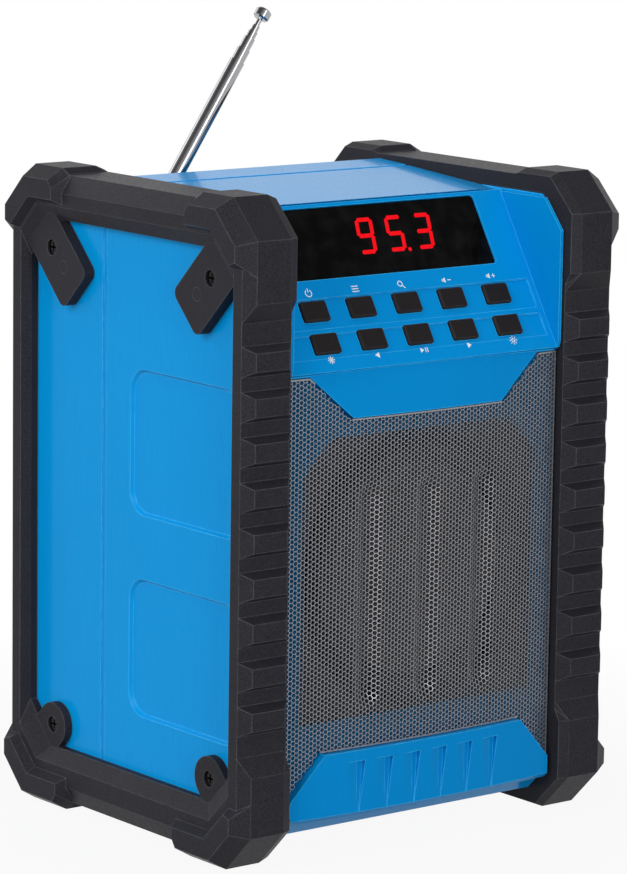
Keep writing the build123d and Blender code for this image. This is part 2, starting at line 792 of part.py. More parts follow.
rear_shell.part.label = "rear_shell"

# ---------------------------------------------------------------- control panel
key_names = [
    ["power_key", "mode_key", "scan_key", "volume_down_key", "volume_up_key"],
    ["preset_key", "previous_key", "play_key", "next_key", "dimmer_key"],
]
key_places = {}
for row, row_s in enumerate((0.0, row_lower_s)):
    for column in range(len(key_names[row])):
        key_places[key_names[row][column]] = ((column - (len(key_names[row]) - 1) / 2) * key_pitch, row_s)

cheek_points = [
    panel_point(panel_top_s - seat_gap, panel_thickness),
    panel_point((cheek_top_z - panel_z) / tilt_cos, 0),
    (cheek_front_y + cheek_cut_depth, cheek_top_z),
    (cheek_front_y, cheek_top_z - cheek_cut_height),
    (cheek_front_y, panel_nose_z + cheek_foot_rise),
    panel_point(nose_s, 0),
    panel_point(nose_s, panel_thickness),
]
apron_points = [
    (-apron_bottom_half, apron_bottom_z),
    (apron_bottom_half, apron_bottom_z),
    (apron_top_half, apron_shoulder_z),
    (apron_wide_half, apron_shoulder_z),
    (apron_wide_half, panel_nose_z + strip_depth),
    (-apron_wide_half, panel_nose_z + strip_depth),
    (-apron_wide_half, apron_shoulder_z),
    (-apron_top_half, apron_shoulder_z),
]
with BuildPart(mode=Mode.PRIVATE) as apron_body:
    loft(sections=[
        *crown_face(apron_bottom_z, apron_bottom_y, -front_face, panel_half_width).faces(),
        *crown_face(panel_nose_z + strip_depth, apron_top_y, -front_face, panel_half_width,
                    nose_crown_radius).faces(),
    ])
    add(front_prism(apron_points, -2 * front_face, front_face), mode=Mode.INTERSECT)

board_post_places = []
for side in (-1, 1):
    board_post_places.append((side * key_pitch * 1.5, row_lower_s / 2))
    board_post_places.append((side * board_post_high_x, board_post_high_s))

with BuildPart() as control_fascia:
    add(panel_block((-panel_half_width, panel_half_width), (nose_s, panel_top_s - seat_gap),
                    (0, panel_thickness)))
    add(apron_body.part)
    for side in (-1, 1):
        add(slab_x(outline_face(cheek_points), *sorted((side * panel_half_width,
                                                        side * (panel_half_width - cheek_thickness)))))
    for boss_x, boss_s in fascia_boss_places:
        add(panel_rod(boss_x, boss_s, fascia_boss_radius, panel_thickness - pin_gap, slope_depth))
    for post_s_x, post_s in board_post_places:
        add(panel_rod(post_s_x, post_s, board_post_radius, panel_thickness - pin_gap, board_depth))
    add(panel_block((-strip_half_width, strip_half_width), (-strip_below, strip_above),
                    (-cut_clear, strip_depth)), mode=Mode.SUBTRACT)
    add(panel_block((-strip_half_width, strip_half_width),
                    (row_lower_s - lower_strip_below, row_lower_s + lower_strip_above),
                    (-cut_clear, strip_depth)), mode=Mode.SUBTRACT)
    for key_x, key_s in key_places.values():
        add(panel_block((key_x - key_width / 2 - slip_gap, key_x + key_width / 2 + slip_gap),
                        (key_s - key_height / 2 - slip_gap, key_s + key_height / 2 + slip_gap),
                        (-cut_clear, panel_thickness + cut_clear), key_corner + slip_gap), mode=Mode.SUBTRACT)
    add(panel_block((-window_half_width - slip_gap, window_half_width + slip_gap),
                    (window_low_s - slip_gap, window_high_s + slip_gap),
                    (-cut_clear, pane_recess + pane_thickness), window_corner), mode=Mode.SUBTRACT)
    add(panel_block((-window_half_width + pane_ledge, window_half_width - pane_ledge),
                    (window_low_s + pane_ledge, window_high_s - pane_ledge),
                    (0, panel_thickness + cut_clear)), mode=Mode.SUBTRACT)
    for boss_x, boss_s in fascia_boss_places:
        add(panel_rod(boss_x, boss_s, small_screw_radius + pin_gap, 2 * strip_depth, slope_depth + cut_clear),
            mode=Mode.SUBTRACT)
    for post_s_x, post_s in board_post_places:
        add(panel_rod(post_s_x, post_s, small_screw_radius + pin_gap, panel_thickness,
                      board_depth + cut_clear),
            mode=Mode.SUBTRACT)
control_fascia.part.label = "control_fascia"

with BuildPart() as display_window:
    add(panel_block((-window_half_width, window_half_width), (window_low_s, window_high_s),
                    (pane_recess, pane_recess + pane_thickness), window_corner))
display_window.part.label = "display_window"

digit_mid_s = (module_low_s + module_high_s) / 2
module_front = panel_thickness + slip_gap
with BuildPart() as display_module:
    add(panel_block((-module_half_width, module_half_width), (module_low_s, module_high_s),
                    (module_front, board_depth)))
    for digit in range(4):
        digit_x = (digit - 1.5) * digit_pitch
        for bar_s in (-digit_height / 2 + digit_stroke / 2, 0, digit_height / 2 - digit_stroke / 2):
            add(panel_block((digit_x - digit_width / 2 + digit_stroke,
                             digit_x + digit_width / 2 - digit_stroke),
                            (digit_mid_s + bar_s - digit_stroke / 2, digit_mid_s + bar_s + digit_stroke / 2),
                            (module_front - slip_gap, module_front + digit_relief)), mode=Mode.SUBTRACT)
display_module.part.label = "display_module"

with BuildPart() as control_board:
    add(panel_block((-board_half_width, board_half_width), (board_low_s, board_high_s),
                    (board_depth, board_depth + board_thickness)))
    for x, s in board_post_places:
        add(panel_rod(x, s, small_screw_radius + pin_gap, board_depth - cut_clear,
                      board_depth + board_thickness + cut_clear),
            mode=Mode.SUBTRACT)
control_board.part.label = "control_board"

switch_top = board_depth - switch_height
key_flange_top = panel_thickness + slip_gap
key_stem_end = switch_top - switch_button_height - slip_gap
with BuildPart() as key_switches:
    for x, s in key_places.values():
        add(panel_block((x - switch_size / 2, x + switch_size / 2),
                        (s - switch_size / 2, s + switch_size / 2),
                        (switch_top + key_travel, board_depth)))
        add(panel_rod(x, s, switch_button_radius, switch_top - switch_button_height + key_travel,
                      switch_top + key_travel + pin_gap))
key_switches.part.label = "key_switches"

for key_name, (x, s) in key_places.items():
    with BuildPart() as key:
        with BuildSketch(panel_plane.offset(-key_flange_top)):
            with Locations((x, s)):
                RectangleRounded(key_width, key_height, key_corner)
        extrude(amount=key_flange_top + key_proud)
        key_top = key.faces().sort_by(Axis(panel_plane.origin, panel_plane.z_dir))[-1]
        chamfer(key_top.edges(), length=key_bevel)
        add(panel_block((x - key_width / 2 - key_flange, x + key_width / 2 + key_flange),
                        (s - key_height / 2 - key_flange, s + key_height / 2 + key_flange),
                        (key_flange_top, key_flange_top + key_flange_thickness)))
        add(panel_rod(x, s, key_stem_radius, key_flange_top, key_stem_end))
    key.part.label = key_name
    export_step(key.part, f"parts/{key_name}.step")

with BuildPart() as fascia_screws:
    for x, s in fascia_boss_places:
        add(panel_rod(x, s, small_screw_radius, 3 * strip_depth,
                      slope_depth + shell_wall + small_head_height))
        add(panel_rod(x, s, small_head_radius, slope_depth + shell_wall,
                      slope_depth + shell_wall + small_head_height))
fascia_screws.part.label = "fascia_screws"

with BuildPart() as board_screws:
    for x, s in board_post_places:
        add(panel_rod(x, s, small_screw_radius, board_depth - board_screw_bite,
                      board_depth + board_thickness + small_head_height))
        add(panel_rod(x, s, small_head_radius, board_depth + board_thickness,
                      board_depth + board_thickness + small_head_height))
    for x, z in main_post_places:
        add(rod_between(x, z, small_screw_radius, main_board_y - main_board_thickness - small_head_height,
                        main_board_y + 4 * small_head_height))
        add(rod_between(x, z, small_head_radius, main_board_y - main_board_thickness - small_head_height,
                        main_board_y - main_board_thickness))
board_screws.part.label = "board_screws"

# ---------------------------------------------------------------- lower fascia
fascia_points = [
    (-fascia_half, fascia_bottom_z),
    (fascia_half, fascia_bottom_z),
    (fascia_half, fascia_shoulder_z),
    (fascia_top_half, fascia_top_z),
    (-fascia_top_half, fascia_top_z),
    (-fascia_half, fascia_shoulder_z),
]
wedge_top_z = fascia_top_z - wedge_top_drop


def wedge_cut(x):
    """Slot with a shallow slope beside it, both running out at the fascia's lower edge."""
    turn = asin(x / crown_radius)
    front_y = crown_y(fascia_front_y, x)
    with BuildPart(mode=Mode.PRIVATE) as wedge:
        for z, lean, slot, depth, scoop, scoop_depth in (
                (wedge_top_z, 0.0, wedge_width, wedge_depth, wedge_scoop, wedge_scoop_depth),
                (fascia_bottom_z, wedge_lean, wedge_tip_width, pin_gap, wedge_scoop / 2, pin_gap / 2)):
            with BuildSketch(Plane(origin=(x, front_y, z), x_dir=(cos(turn), sin(turn), 0), z_dir=(0, 0, 1))):
                Polygon((-lean, -cut_clear), (-lean, depth), (-lean - slot, depth),
                        (-lean - slot - wedge_tip_width, scoop_depth), (-lean - scoop, 0),
                        (-lean - scoop, -cut_clear), align=None)
        loft(ruled=True)
    return wedge.part


fascia_foot_z = fascia_bottom_z + fascia_foot_bevel
fascia_foot_face = crown_face(fascia_bottom_z, fascia_front_y + fascia_foot_bevel, -front_face, fascia_half)
fascia_face = crown_face(fascia_foot_z, fascia_front_y, -front_face, fascia_half)
with BuildPart() as lower_fascia:
    loft(sections=[*fascia_foot_face.faces(), *fascia_face.faces()], ruled=True)
    extrude(to_extrude=fascia_face, amount=fascia_top_z - fascia_foot_z)
    add(front_prism(fascia_points, -2 * front_face, front_face, fascia_corner, 2), mode=Mode.INTERSECT)
    for index in range(wedge_count):
        add(wedge_cut((index - (wedge_count - 1) / 2) * wedge_pitch + (wedge_width + wedge_lean) / 2),
            mode=Mode.SUBTRACT)
lower_fascia.part.label = "lower_fascia"

# ---------------------------------------------------------------- grille
groove_run = (groove_width - groove_floor) / 2
groove_side_extra = grille_sheet * tan(atan2(groove_depth, groove_run) / 2)


def groove_solid(x, start, end, extra=0.0):
    """Upright trough with sloping sides and ends, between two depths behind the bowed front at x."""
    turn = asin(x / crown_radius)
    middle = Plane(origin=(x, crown_y(grille_front_y, x), (groove_bottom + groove_top) / 2), x_dir=(0, 0, 1),
                   z_dir=(sin(turn), -cos(turn), 0))
    length = groove_top - groove_bottom - groove_width
    with BuildPart(mode=Mode.PRIVATE) as trough:
        for depth in (start, end):
            width = groove_floor + 2 * (groove_run * (groove_depth + extra - depth) / groove_depth)
            with BuildSketch(middle.offset(-depth)):
                SlotOverall(length + width, width)
        loft(ruled=True)
    return trough.part


apron_cut_points = [
    (-apron_bottom_half - grille_gap, apron_bottom_z - grille_gap),
    (apron_bottom_half + grille_gap, apron_bottom_z - grille_gap),
    (apron_top_half + grille_gap, apron_shoulder_z - grille_gap),
    (2 * apron_wide_half, apron_shoulder_z - grille_gap),
    (2 * apron_wide_half, 2 * panel_nose_z),
    (-2 * apron_wide_half, 2 * panel_nose_z),
    (-2 * apron_wide_half, apron_shoulder_z - grille_gap),
    (-apron_top_half - grille_gap, apron_shoulder_z - grille_gap),
]
fascia_cut_points = [
    (-fascia_half - grille_gap, -fascia_bottom_z),
    (fascia_half + grille_gap, -fascia_bottom_z),
    (fascia_half + grille_gap, fascia_shoulder_z + grille_gap),
    (fascia_top_half + grille_gap, fascia_top_z + grille_gap),
    (-fascia_top_half - grille_gap, fascia_top_z + grille_gap),
    (-fascia_half - grille_gap, fascia_shoulder_z + grille_gap),
]
grille_edge_y = crown_y(grille_front_y, grille_half_width)
with BuildPart() as speaker_grille:
    add(crown_band((grille_bottom, grille_top), grille_front_y, grille_sheet, grille_half_width))
    for side in (-1, 0, 1):
        add(groove_solid(side * groove_half_pitch, grille_sheet / 2, groove_depth + grille_sheet,
                         grille_sheet + groove_side_extra))
    for side in (-1, 0, 1):
        add(groove_solid(side * groove_half_pitch, -grille_sheet, groove_depth), mode=Mode.SUBTRACT)
    for side in (-1, 1):
        flange_x = sorted((side * grille_half_width, side * (grille_half_width - grille_sheet)))
        add(block_xyz(flange_x, (grille_edge_y + pin_gap, -front_face), (grille_bottom, grille_top)))
    add(front_prism(apron_cut_points, -2 * front_face, front_face), mode=Mode.SUBTRACT)
    add(front_prism(fascia_cut_points, -2 * front_face, front_face), mode=Mode.SUBTRACT)
speaker_grille.part.label = "speaker_grille"

# ---------------------------------------------------------------- speaker, turned about an axis along Y
baffle_y = -front_inner
speaker_plane = Plane(origin=(0, baffle_y, speaker_z), x_dir=(1, 0, 0), z_dir=(0, 0, 1))


def turned(points):
    """Ring turned about the speaker's axis; points are (radius, depth behind the baffle's face)."""
    with BuildPart(mode=Mode.PRIVATE) as ring:
        with BuildSketch(speaker_plane):
            with BuildLine():
                Polyline(*points, close=True)
            make_face()
        revolve(axis=Axis((0, baffle_y, speaker_z), (0, 1, 0)))
    return ring.part


def ring_between(inner, outer, start, end):
    """Plain ring about the speaker's axis."""
    return turned([(inner, start), (outer, start), (outer, end), (inner, end)])


speaker_screw_places = []
for corner in range(4):
    angle = radians(45 + 90 * corner)
    speaker_screw_places.append((speaker_screw_ring * cos(angle),
                                 speaker_z + speaker_screw_ring * sin(angle)))

with BuildPart() as speaker_baffle:
    add(block_xyz((-baffle_half_width, baffle_half_width), (baffle_y, baffle_y + baffle_thickness),
                  (opening_bottom - baffle_margin, opening_top + baffle_margin)))
    add(rod_between(0, speaker_z, cone_hole_radius, baffle_y - cut_clear,
                    baffle_y + baffle_thickness + cut_clear),
        mode=Mode.SUBTRACT)
    for x, z in speaker_screw_places:
        add(rod_between(x, z, small_screw_radius + pin_gap, baffle_y - cut_clear,
                        baffle_y + baffle_thickness + cut_clear),
            mode=Mode.SUBTRACT)
speaker_baffle.part.label = "speaker_baffle"

basket_back = basket_depth
with BuildPart() as speaker_basket:
    add(turned([
        (cone_edge_radius + flange_inset, -flange_thickness),
        (flange_radius, -flange_thickness),
        (flange_radius, 0),
        (cone_hole_radius - seat_gap, 0),
        (cone_hole_radius - seat_gap, baffle_thickness),
        (basket_neck_radius, basket_back - basket_sheet),
        (basket_neck_radius, basket_back),
        (coil_inner_radius + coil_wall + air_gap * 2, basket_back),
        (coil_inner_radius + coil_wall + air_gap * 2, basket_back - basket_sheet),
        (basket_neck_radius - basket_sheet * 1.5, basket_back - basket_sheet),
        (cone_hole_radius - seat_gap - basket_sheet, baffle_thickness - basket_sheet),
        (cone_edge_radius + flange_inset, 0),
    ]))
    for window in range(basket_windows):
        angle = radians(360 / basket_windows * window)
        reach = (basket_neck_radius + cone_hole_radius) / 2 + basket_sheet
        bar_x = reach * cos(angle)
        bar_z = speaker_z + reach * sin(angle)
        add(rod_between(bar_x, bar_z, basket_window_radius, baffle_y + baffle_thickness + basket_sheet,
                        baffle_y + basket_back - 2 * basket_sheet), mode=Mode.SUBTRACT)
    for x, z in speaker_screw_places:
        add(rod_between(x, z, small_screw_radius + pin_gap, baffle_y - 2 * flange_thickness,
                        baffle_y + pin_gap),
            mode=Mode.SUBTRACT)
speaker_basket.part.label = "speaker_basket"

with BuildPart() as speaker_screws:
    for x, z in speaker_screw_places:
        add(rod_between(x, z, small_screw_radius, baffle_y - flange_thickness - small_head_height,
                        baffle_y + baffle_thickness))
        add(rod_between(x, z, small_head_radius, baffle_y - flange_thickness - small_head_height,
                        baffle_y - flange_thickness))
speaker_screws.part.label = "speaker_screws"

plate_start = basket_back
plate_end = plate_start + top_plate_thickness
magnet_end = plate_end + magnet_thickness
yoke_end = magnet_end + yoke_thickness
coil_outer_radius = coil_inner_radius + coil_wall
with BuildPart() as speaker_top_plate:
    add(ring_between(coil_outer_radius + air_gap, top_plate_radius, plate_start, plate_end))
speaker_top_plate.part.label = "speaker_top_plate"

with BuildPart() as speaker_magnet:
    add(ring_between(magnet_inner_radius, magnet_radius, plate_end, magnet_end))
speaker_magnet.part.label = "speaker_magnet"

with BuildPart() as speaker_yoke:
    add(ring_between(0, yoke_radius, magnet_end, yoke_end))
    add(ring_between(0, coil_inner_radius - air_gap, plate_start, magnet_end + pin_gap))
speaker_yoke.part.label = "speaker_yoke"

cone_front = -flange_thickness * 0.4
cone_back = cone_front + cone_depth
coil_start = cone_back - cone_sheet
coil_end = coil_start + coil_length
with BuildPart() as speaker_cone:
    add(turned([
        (cone_edge_radius, cone_front),
        (cone_edge_radius, cone_front + cone_sheet),
        (coil_outer_radius + cone_sheet, cone_back),
        (coil_outer_radius, cone_back),
        (coil_outer_radius, cone_back - cone_sheet),
        (cone_edge_radius - cone_sheet, cone_front),
    ]))
speaker_cone.part.label = "speaker_cone"

with BuildPart() as voice_coil:
    add(ring_between(coil_inner_radius, coil_outer_radius, coil_start - cone_sheet, coil_end))
voice_coil.part.label = "voice_coil"

cone_slope = (cone_depth - cone_sheet) / (cone_edge_radius - cone_sheet - coil_outer_radius)
cap_rim_depth = cone_front + (cone_edge_radius - cone_sheet - cap_radius) * cone_slope - cap_seat
cap_sphere = (cap_radius ** 2 + cap_height ** 2) / (2 * cap_height)
cap_angle = asin(cap_radius / cap_sphere)
cap_center = cap_rim_depth - cap_height + cap_sphere


def cap_point(radius, angle):
    """Point on a dome about the speaker's axis."""
    return (radius * sin(angle), cap_center - radius * cos(angle))


cap_inner = cap_sphere - cone_sheet
with BuildPart() as dust_cap:
    with BuildSketch(speaker_plane):
        with BuildLine():
            ThreePointArc(cap_point(cap_sphere, 0), cap_point(cap_sphere, cap_angle / 2),
                          cap_point(cap_sphere, cap_angle))
            Line(cap_point(cap_sphere, cap_angle), cap_point(cap_inner, cap_angle))
            ThreePointArc(cap_point(cap_inner, cap_angle), cap_point(cap_inner, cap_angle / 2),
                          cap_point(cap_inner, 0))
            Line(cap_point(cap_inner, 0), cap_point(cap_sphere, 0))
        make_face()
    revolve(axis=Axis((0, baffle_y, speaker_z), (0, 1, 0)))
dust_cap.part.label = "dust_cap"

roll_inner = cone_edge_radius + seat_gap
surround_radius = speaker_screw_ring - small_head_radius - seat_gap
roll_outer = surround_radius - surround_lip
roll_start = -flange_thickness - surround_sheet
roll_mid = (roll_inner + roll_outer) / 2
roll_radius = (roll_outer - roll_inner) / 2
with BuildPart() as speaker_surround:
    with BuildSketch(speaker_plane):
        with BuildLine():
            ThreePointArc((roll_inner, roll_start + surround_sheet),
                          (roll_mid, roll_start + surround_sheet - roll_radius * 0.5),
                          (roll_outer, roll_start))
            Polyline((roll_outer, roll_start), (surround_radius, roll_start),
                     (surround_radius, roll_start + surround_sheet),
                     (roll_outer, roll_start + surround_sheet))
            ThreePointArc((roll_outer, roll_start + surround_sheet),
                          (roll_mid, roll_start + 2 * surround_sheet - roll_radius * 0.5),
                          (roll_inner, roll_start + 2 * surround_sheet))
            Line((roll_inner, roll_start + 2 * surround_sheet), (roll_inner, roll_start + surround_sheet))
        make_face()
    revolve(axis=Axis((0, baffle_y, speaker_z), (0, 1, 0)))
speaker_surround.part.label = "speaker_surround"

spider_back = basket_back - basket_sheet
with BuildPart() as speaker_spider:
    add(ring_between(coil_outer_radius + seat_gap, basket_neck_radius - 2 * basket_sheet,
                     spider_back - spider_thickness, spider_back))
speaker_spider.part.label = "speaker_spider"

# ---------------------------------------------------------------- battery bay
row_z = [tray_bottom + seat_gap + cell_radius, tray_bottom + 2 * seat_gap + 3 * cell_radius]
cell_y = tray_floor_y + seat_gap + cell_radius
with BuildPart() as battery_tray:
    add(block_xyz((-tray_inner_half - tray_wall, tray_inner_half + tray_wall),
                  (tray_floor_y - tray_wall, rear_inner), (tray_bottom - tray_wall, tray_top + tray_wall)))
    add(block_xyz((-tray_inner_half, tray_inner_half), (tray_floor_y, rear_inner + cut_clear),
                  (tray_bottom, tray_top)),
        mode=Mode.SUBTRACT)
battery_tray.part.label = "battery_tray"

cell_starts = []
for z in row_z:
    for x in (-cell_length, 0.0):
        cell_starts.append((x, z))
with BuildPart() as battery_cells:
    for x, z in cell_starts:
        add(rod_along_x(cell_y, z, cell_radius, x + slip_gap, x + cell_length - cell_nub_length))
        add(rod_along_x(cell_y, z, cell_nub_radius, x + cell_length - cell_nub_length - pin_gap,
                        x + cell_length))
battery_cells.part.label = "battery_cells"

with BuildPart() as battery_contacts:
    for z in row_z:
        for side in (-1, 1):
            plate_x = sorted((side * tray_inner_half, side * (tray_inner_half - contact_plate)))
            stub_x = sorted((side * (cell_length + slip_gap), side * (tray_inner_half - contact_plate)))
            add(rod_along_x(cell_y, z, contact_radius, *plate_x))
            add(rod_along_x(cell_y, z, cell_nub_radius, stub_x[0], stub_x[1]))
battery_contacts.part.label = "battery_contacts"

cover_y = (case_half_depth + seat_gap, case_half_depth + seat_gap + cover_thickness)
with BuildPart() as battery_door:
    add(block_xyz((-bay_half_width - door_overlap, bay_half_width + door_overlap), cover_y,
                  (door_axis_z + barrel_radius + seat_gap, tray_top + door_overlap)))
    add(block_xyz((-door_barrel_half, door_barrel_half), cover_y,
                  (door_axis_z, door_axis_z + 2 * barrel_radius)))
    add(rod_along_x(hinge_y, door_axis_z, barrel_radius, -door_barrel_half, door_barrel_half))
    add(block_xyz((-door_finger_width / 2, door_finger_width / 2),
                  (cover_y[1] - door_finger_depth, cover_y[1] + cut_clear),
                  (tray_top - 3 * cover_thickness, tray_top + 2 * door_overlap)), mode=Mode.SUBTRACT)
    add(rod_along_x(hinge_y, door_axis_z, hinge_pin_radius + pin_gap, -bay_half_width, bay_half_width),
        mode=Mode.SUBTRACT)
battery_door.part.label = "battery_door"

# ---------------------------------------------------------------- ports
plate_y = (rear_inner - port_plate_thickness, rear_inner)
dc_body_half = dc_body_size / 2
with BuildPart() as port_plate:
    add(block_xyz((recess_x[0] - port_plate_lap, recess_x[1] + port_plate_lap), plate_y,
                  (recess_z[0] - port_plate_lap, recess_z[1] + port_plate_lap)))
    add(rod_between(dc_x, port_z, dc_nose_radius + slip_gap, plate_y[0] - cut_clear, plate_y[1] + cut_clear),
        mode=Mode.SUBTRACT)
    add(block_xyz((usb_x - usb_width / 2 - slip_gap, usb_x + usb_width / 2 + slip_gap),
                  (plate_y[0] - cut_clear, plate_y[1] + cut_clear),
                  (port_z - usb_height / 2 - slip_gap, port_z + usb_height / 2 + slip_gap)),
                      mode=Mode.SUBTRACT)
port_plate.part.label = "port_plate"

with BuildPart() as dc_inlet:
    add(block_xyz((dc_x - dc_body_half, dc_x + dc_body_half), (main_board_y, plate_y[0]),
                  (port_z - dc_body_half, port_z + dc_body_half)))
    add(rod_between(dc_x, port_z, dc_nose_radius, plate_y[0] - pin_gap, plate_y[1]))
    add(rod_between(dc_x, port_z, dc_bore_radius, plate_y[1] - dc_bore_depth, plate_y[1] + cut_clear),
        mode=Mode.SUBTRACT)
    add(rod_between(dc_x, port_z, dc_pin_radius, plate_y[1] - dc_bore_depth - pin_gap,
                    plate_y[1] - cut_clear))
dc_inlet.part.label = "dc_inlet"

with BuildPart() as usb_port:
    add(block_xyz((usb_x - usb_width / 2, usb_x + usb_width / 2), (main_board_y, plate_y[1]),
                  (port_z - usb_height / 2, port_z + usb_height / 2)))
    add(block_xyz((usb_x - usb_width / 2 + usb_sheet, usb_x + usb_width / 2 - usb_sheet),
                  (plate_y[1] - usb_depth, plate_y[1] + cut_clear),
                  (port_z - usb_height / 2 + usb_sheet, port_z + usb_height / 2 - usb_sheet)),
                      mode=Mode.SUBTRACT)
    add(block_xyz((usb_x - usb_width / 2 + 2 * usb_sheet, usb_x + usb_width / 2 - 2 * usb_sheet),
                  (plate_y[1] - usb_depth - pin_gap, plate_y[1] - cut_clear),
                  (port_z, port_z + usb_tongue)))
usb_port.part.label = "usb_port"

aux_half = aux_body_size / 2
with BuildPart() as aux_jack:
    add(block_xyz((aux_x - aux_half, aux_x + aux_half), (main_board_y, rear_inner),
                  (port_z - aux_half, port_z + aux_half)))
    add(rod_between(aux_x, port_z, aux_bushing_radius, rear_inner - pin_gap,
                    case_half_depth + aux_bushing_proud))
    add(rod_between(aux_x, port_z, aux_bore_radius, case_half_depth + aux_bushing_proud - aux_bore_depth,
                    case_half_depth + aux_bushing_proud + cut_clear), mode=Mode.SUBTRACT)
aux_jack.part.label = "aux_jack"

with BuildPart() as aux_nut:
    with BuildSketch(Plane(origin=(aux_x, case_half_depth, port_z), x_dir=(1, 0, 0), z_dir=(0, 1, 0))):
        RegularPolygon(aux_nut_radius, 6)
        Circle(aux_bushing_radius + pin_gap, mode=Mode.SUBTRACT)
    extrude(amount=aux_nut_thickness)
aux_nut.part.label = "aux_nut"

with BuildPart() as port_cover:
    add(block_xyz((recess_x[0] - door_overlap, recess_x[1] + door_overlap), cover_y,
                  (recess_z[0] - door_overlap, flap_axis_z - barrel_radius - seat_gap)))
    add(block_xyz(flap_barrel_x, cover_y, (flap_axis_z - 2 * barrel_radius, flap_axis_z)))
    add(rod_along_x(hinge_y, flap_axis_z, barrel_radius, *flap_barrel_x))
    add(rod_along_x(hinge_y, flap_axis_z, hinge_pin_radius + pin_gap, flap_barrel_x[0] - cut_clear,
                    flap_barrel_x[1] + cut_clear),
        mode=Mode.SUBTRACT)
port_cover.part.label = "port_cover"

with BuildPart() as cover_pins:
    add(rod_along_x(hinge_y, flap_axis_z, hinge_pin_radius, recess_x[0], recess_x[1]))
    for side in (-1, 1):
        pin_x = sorted((side * (door_barrel_half - lug_length), side * (door_barrel_half + lug_length)))
        add(rod_along_x(hinge_y, door_axis_z, hinge_pin_radius, *pin_x))
cover_pins.part.label = "cover_pins"

with BuildPart() as main_board:
    add(block_xyz((-main_board_half_width, main_board_half_width),
                  (main_board_y - main_board_thickness, main_board_y), (main_board_bottom, main_board_top)))
    for x, z in main_post_places:
        add(rod_between(x, z, small_screw_radius + pin_gap, main_board_y - 2 * main_board_thickness,
                        main_board_y + main_board_thickness), mode=Mode.SUBTRACT)
main_board.part.label = "main_board"

with BuildPart() as shell_screws:
    for x, z in post_places:
        add(rod_between(x, z, shell_screw_radius, seam_y - shell_screw_length + seat_gap, rear_screw_head_y))
        add(rod_between(x, z, shell_head_radius, rear_screw_head_y, rear_screw_head_y + shell_head_height))
shell_screws.part.label = "shell_screws"

# ---------------------------------------------------------------- guards
# One quarter-symmetric half is built behind the middle plane (y > 0) on the right-hand side.
tilt_cap = tan(radians(22.5))


def half_points(points, z_sign, z_base):
    """Corner block outline: (y, distance from the block's own end plane) to (y, z)."""
    return [(y, z_base + z_sign * height) for y, height in points]


def block_points(end_proud, bar_end):
    """Full outline of a corner block."""
    proud_y = ring_half_depth + block_proud
    return [
        (ring_half_depth, block_leg_end + block_ramp),
        (proud_y, block_leg_end),
        (proud_y, block_cut),
        (proud_y - block_cut, 0),
        (bar_end, 0),
        (bar_end - block_bar_ramp, end_proud),
        (bar_end - block_bar_ramp, end_proud + ring_wall),
        (window_half_depth - window_cut + ring_wall * 1.5, end_proud + ring_wall),
        (window_half_depth + ring_wall * 0.3, block_cut + ring_wall),
        (window_half_depth + ring_wall * 0.3, block_leg_end + block_ramp),
    ]


def cap_face_points(bar_end):
    """Outer face of a corner cap."""
    cap_y = ring_half_depth + block_proud - cap_inset
    inner_sum = cap_band * sqrt(2)
    near = block_cut + cap_inset * tilt_cap
    return [
        (cap_y, cap_leg_end),
        (cap_y, near),
        (cap_y - near + cap_inset, cap_inset),
        (bar_end, cap_inset),
        (bar_end - block_bar_ramp, cap_inset + cap_band * 0.42),
        (bar_end - block_bar_ramp, cap_inset + cap_band),
        (cap_y - near + cap_inset - inner_sum + cap_band, cap_inset + cap_band),
        (cap_y - cap_band * 0.46, near + inner_sum - cap_band * 0.46),
    ]


def cap_root_points(end_proud, bar_end):
    """The same cap where it grows out of the ring."""
    proud_y = ring_half_depth + block_proud
    inner_sum = cap_band * sqrt(2)
    return [
        (proud_y, cap_leg_end + cap_leg_spread),
        (proud_y, block_cut),
        (proud_y - block_cut, 0),
        (bar_end, 0),
        (bar_end - cap_bar_spread, end_proud + slip_gap),
        (bar_end - cap_bar_spread - block_bar_ramp, end_proud + 2 * cap_band - block_bar_ramp),
        (proud_y - block_cut - inner_sum + cap_band * 0.5, end_proud + 2 * cap_band - block_bar_ramp),
        (ring_half_depth - cap_band * 0.8, cap_leg_end + cap_leg_spread - 1),
    ]


def half_octagon(half_depth, bottom, top, bottom_cut, top_cut):
    """Rear half of a side outline with 45 degree corners."""
    return [
        (0, bottom),
        (half_depth - bottom_cut, bottom),
        (half_depth, bottom + bottom_cut),
        (half_depth, top - top_cut),
        (half_depth - top_cut, top),
        (0, top),
    ]


def loft_x(first_points, first_x, second_points, second_x):
    """Straight-sided solid between two side outlines."""
    with BuildPart(mode=Mode.PRIVATE) as body:
        with BuildSketch(Plane.YZ.offset(first_x)):
            Polygon(*first_points, align=None)
        with BuildSketch(Plane.YZ.offset(second_x)):
            Polygon(*second_points, align=None)
        loft(ruled=True)
    return body.part


def rib_block(z_center, base_height, face_height, x_base, x_face, z_face_center):
    """Raised block with sloping sides on the rear of the leg."""
    with BuildPart(mode=Mode.PRIVATE) as rib:
        for y, x_range, height, z in ((ring_half_depth, x_base, base_height, z_center),
                                      (ring_half_depth + block_proud, x_face, face_height, z_face_center)):
            with BuildSketch(Plane(origin=(0, y, 0), x_dir=(1, 0, 0), z_dir=(0, -1, 0))):
                with Locations(((x_range[0] + x_range[1]) / 2, z)):
                    Rectangle(x_range[1] - x_range[0], height)
        loft(ruled=True)
    return rib.part


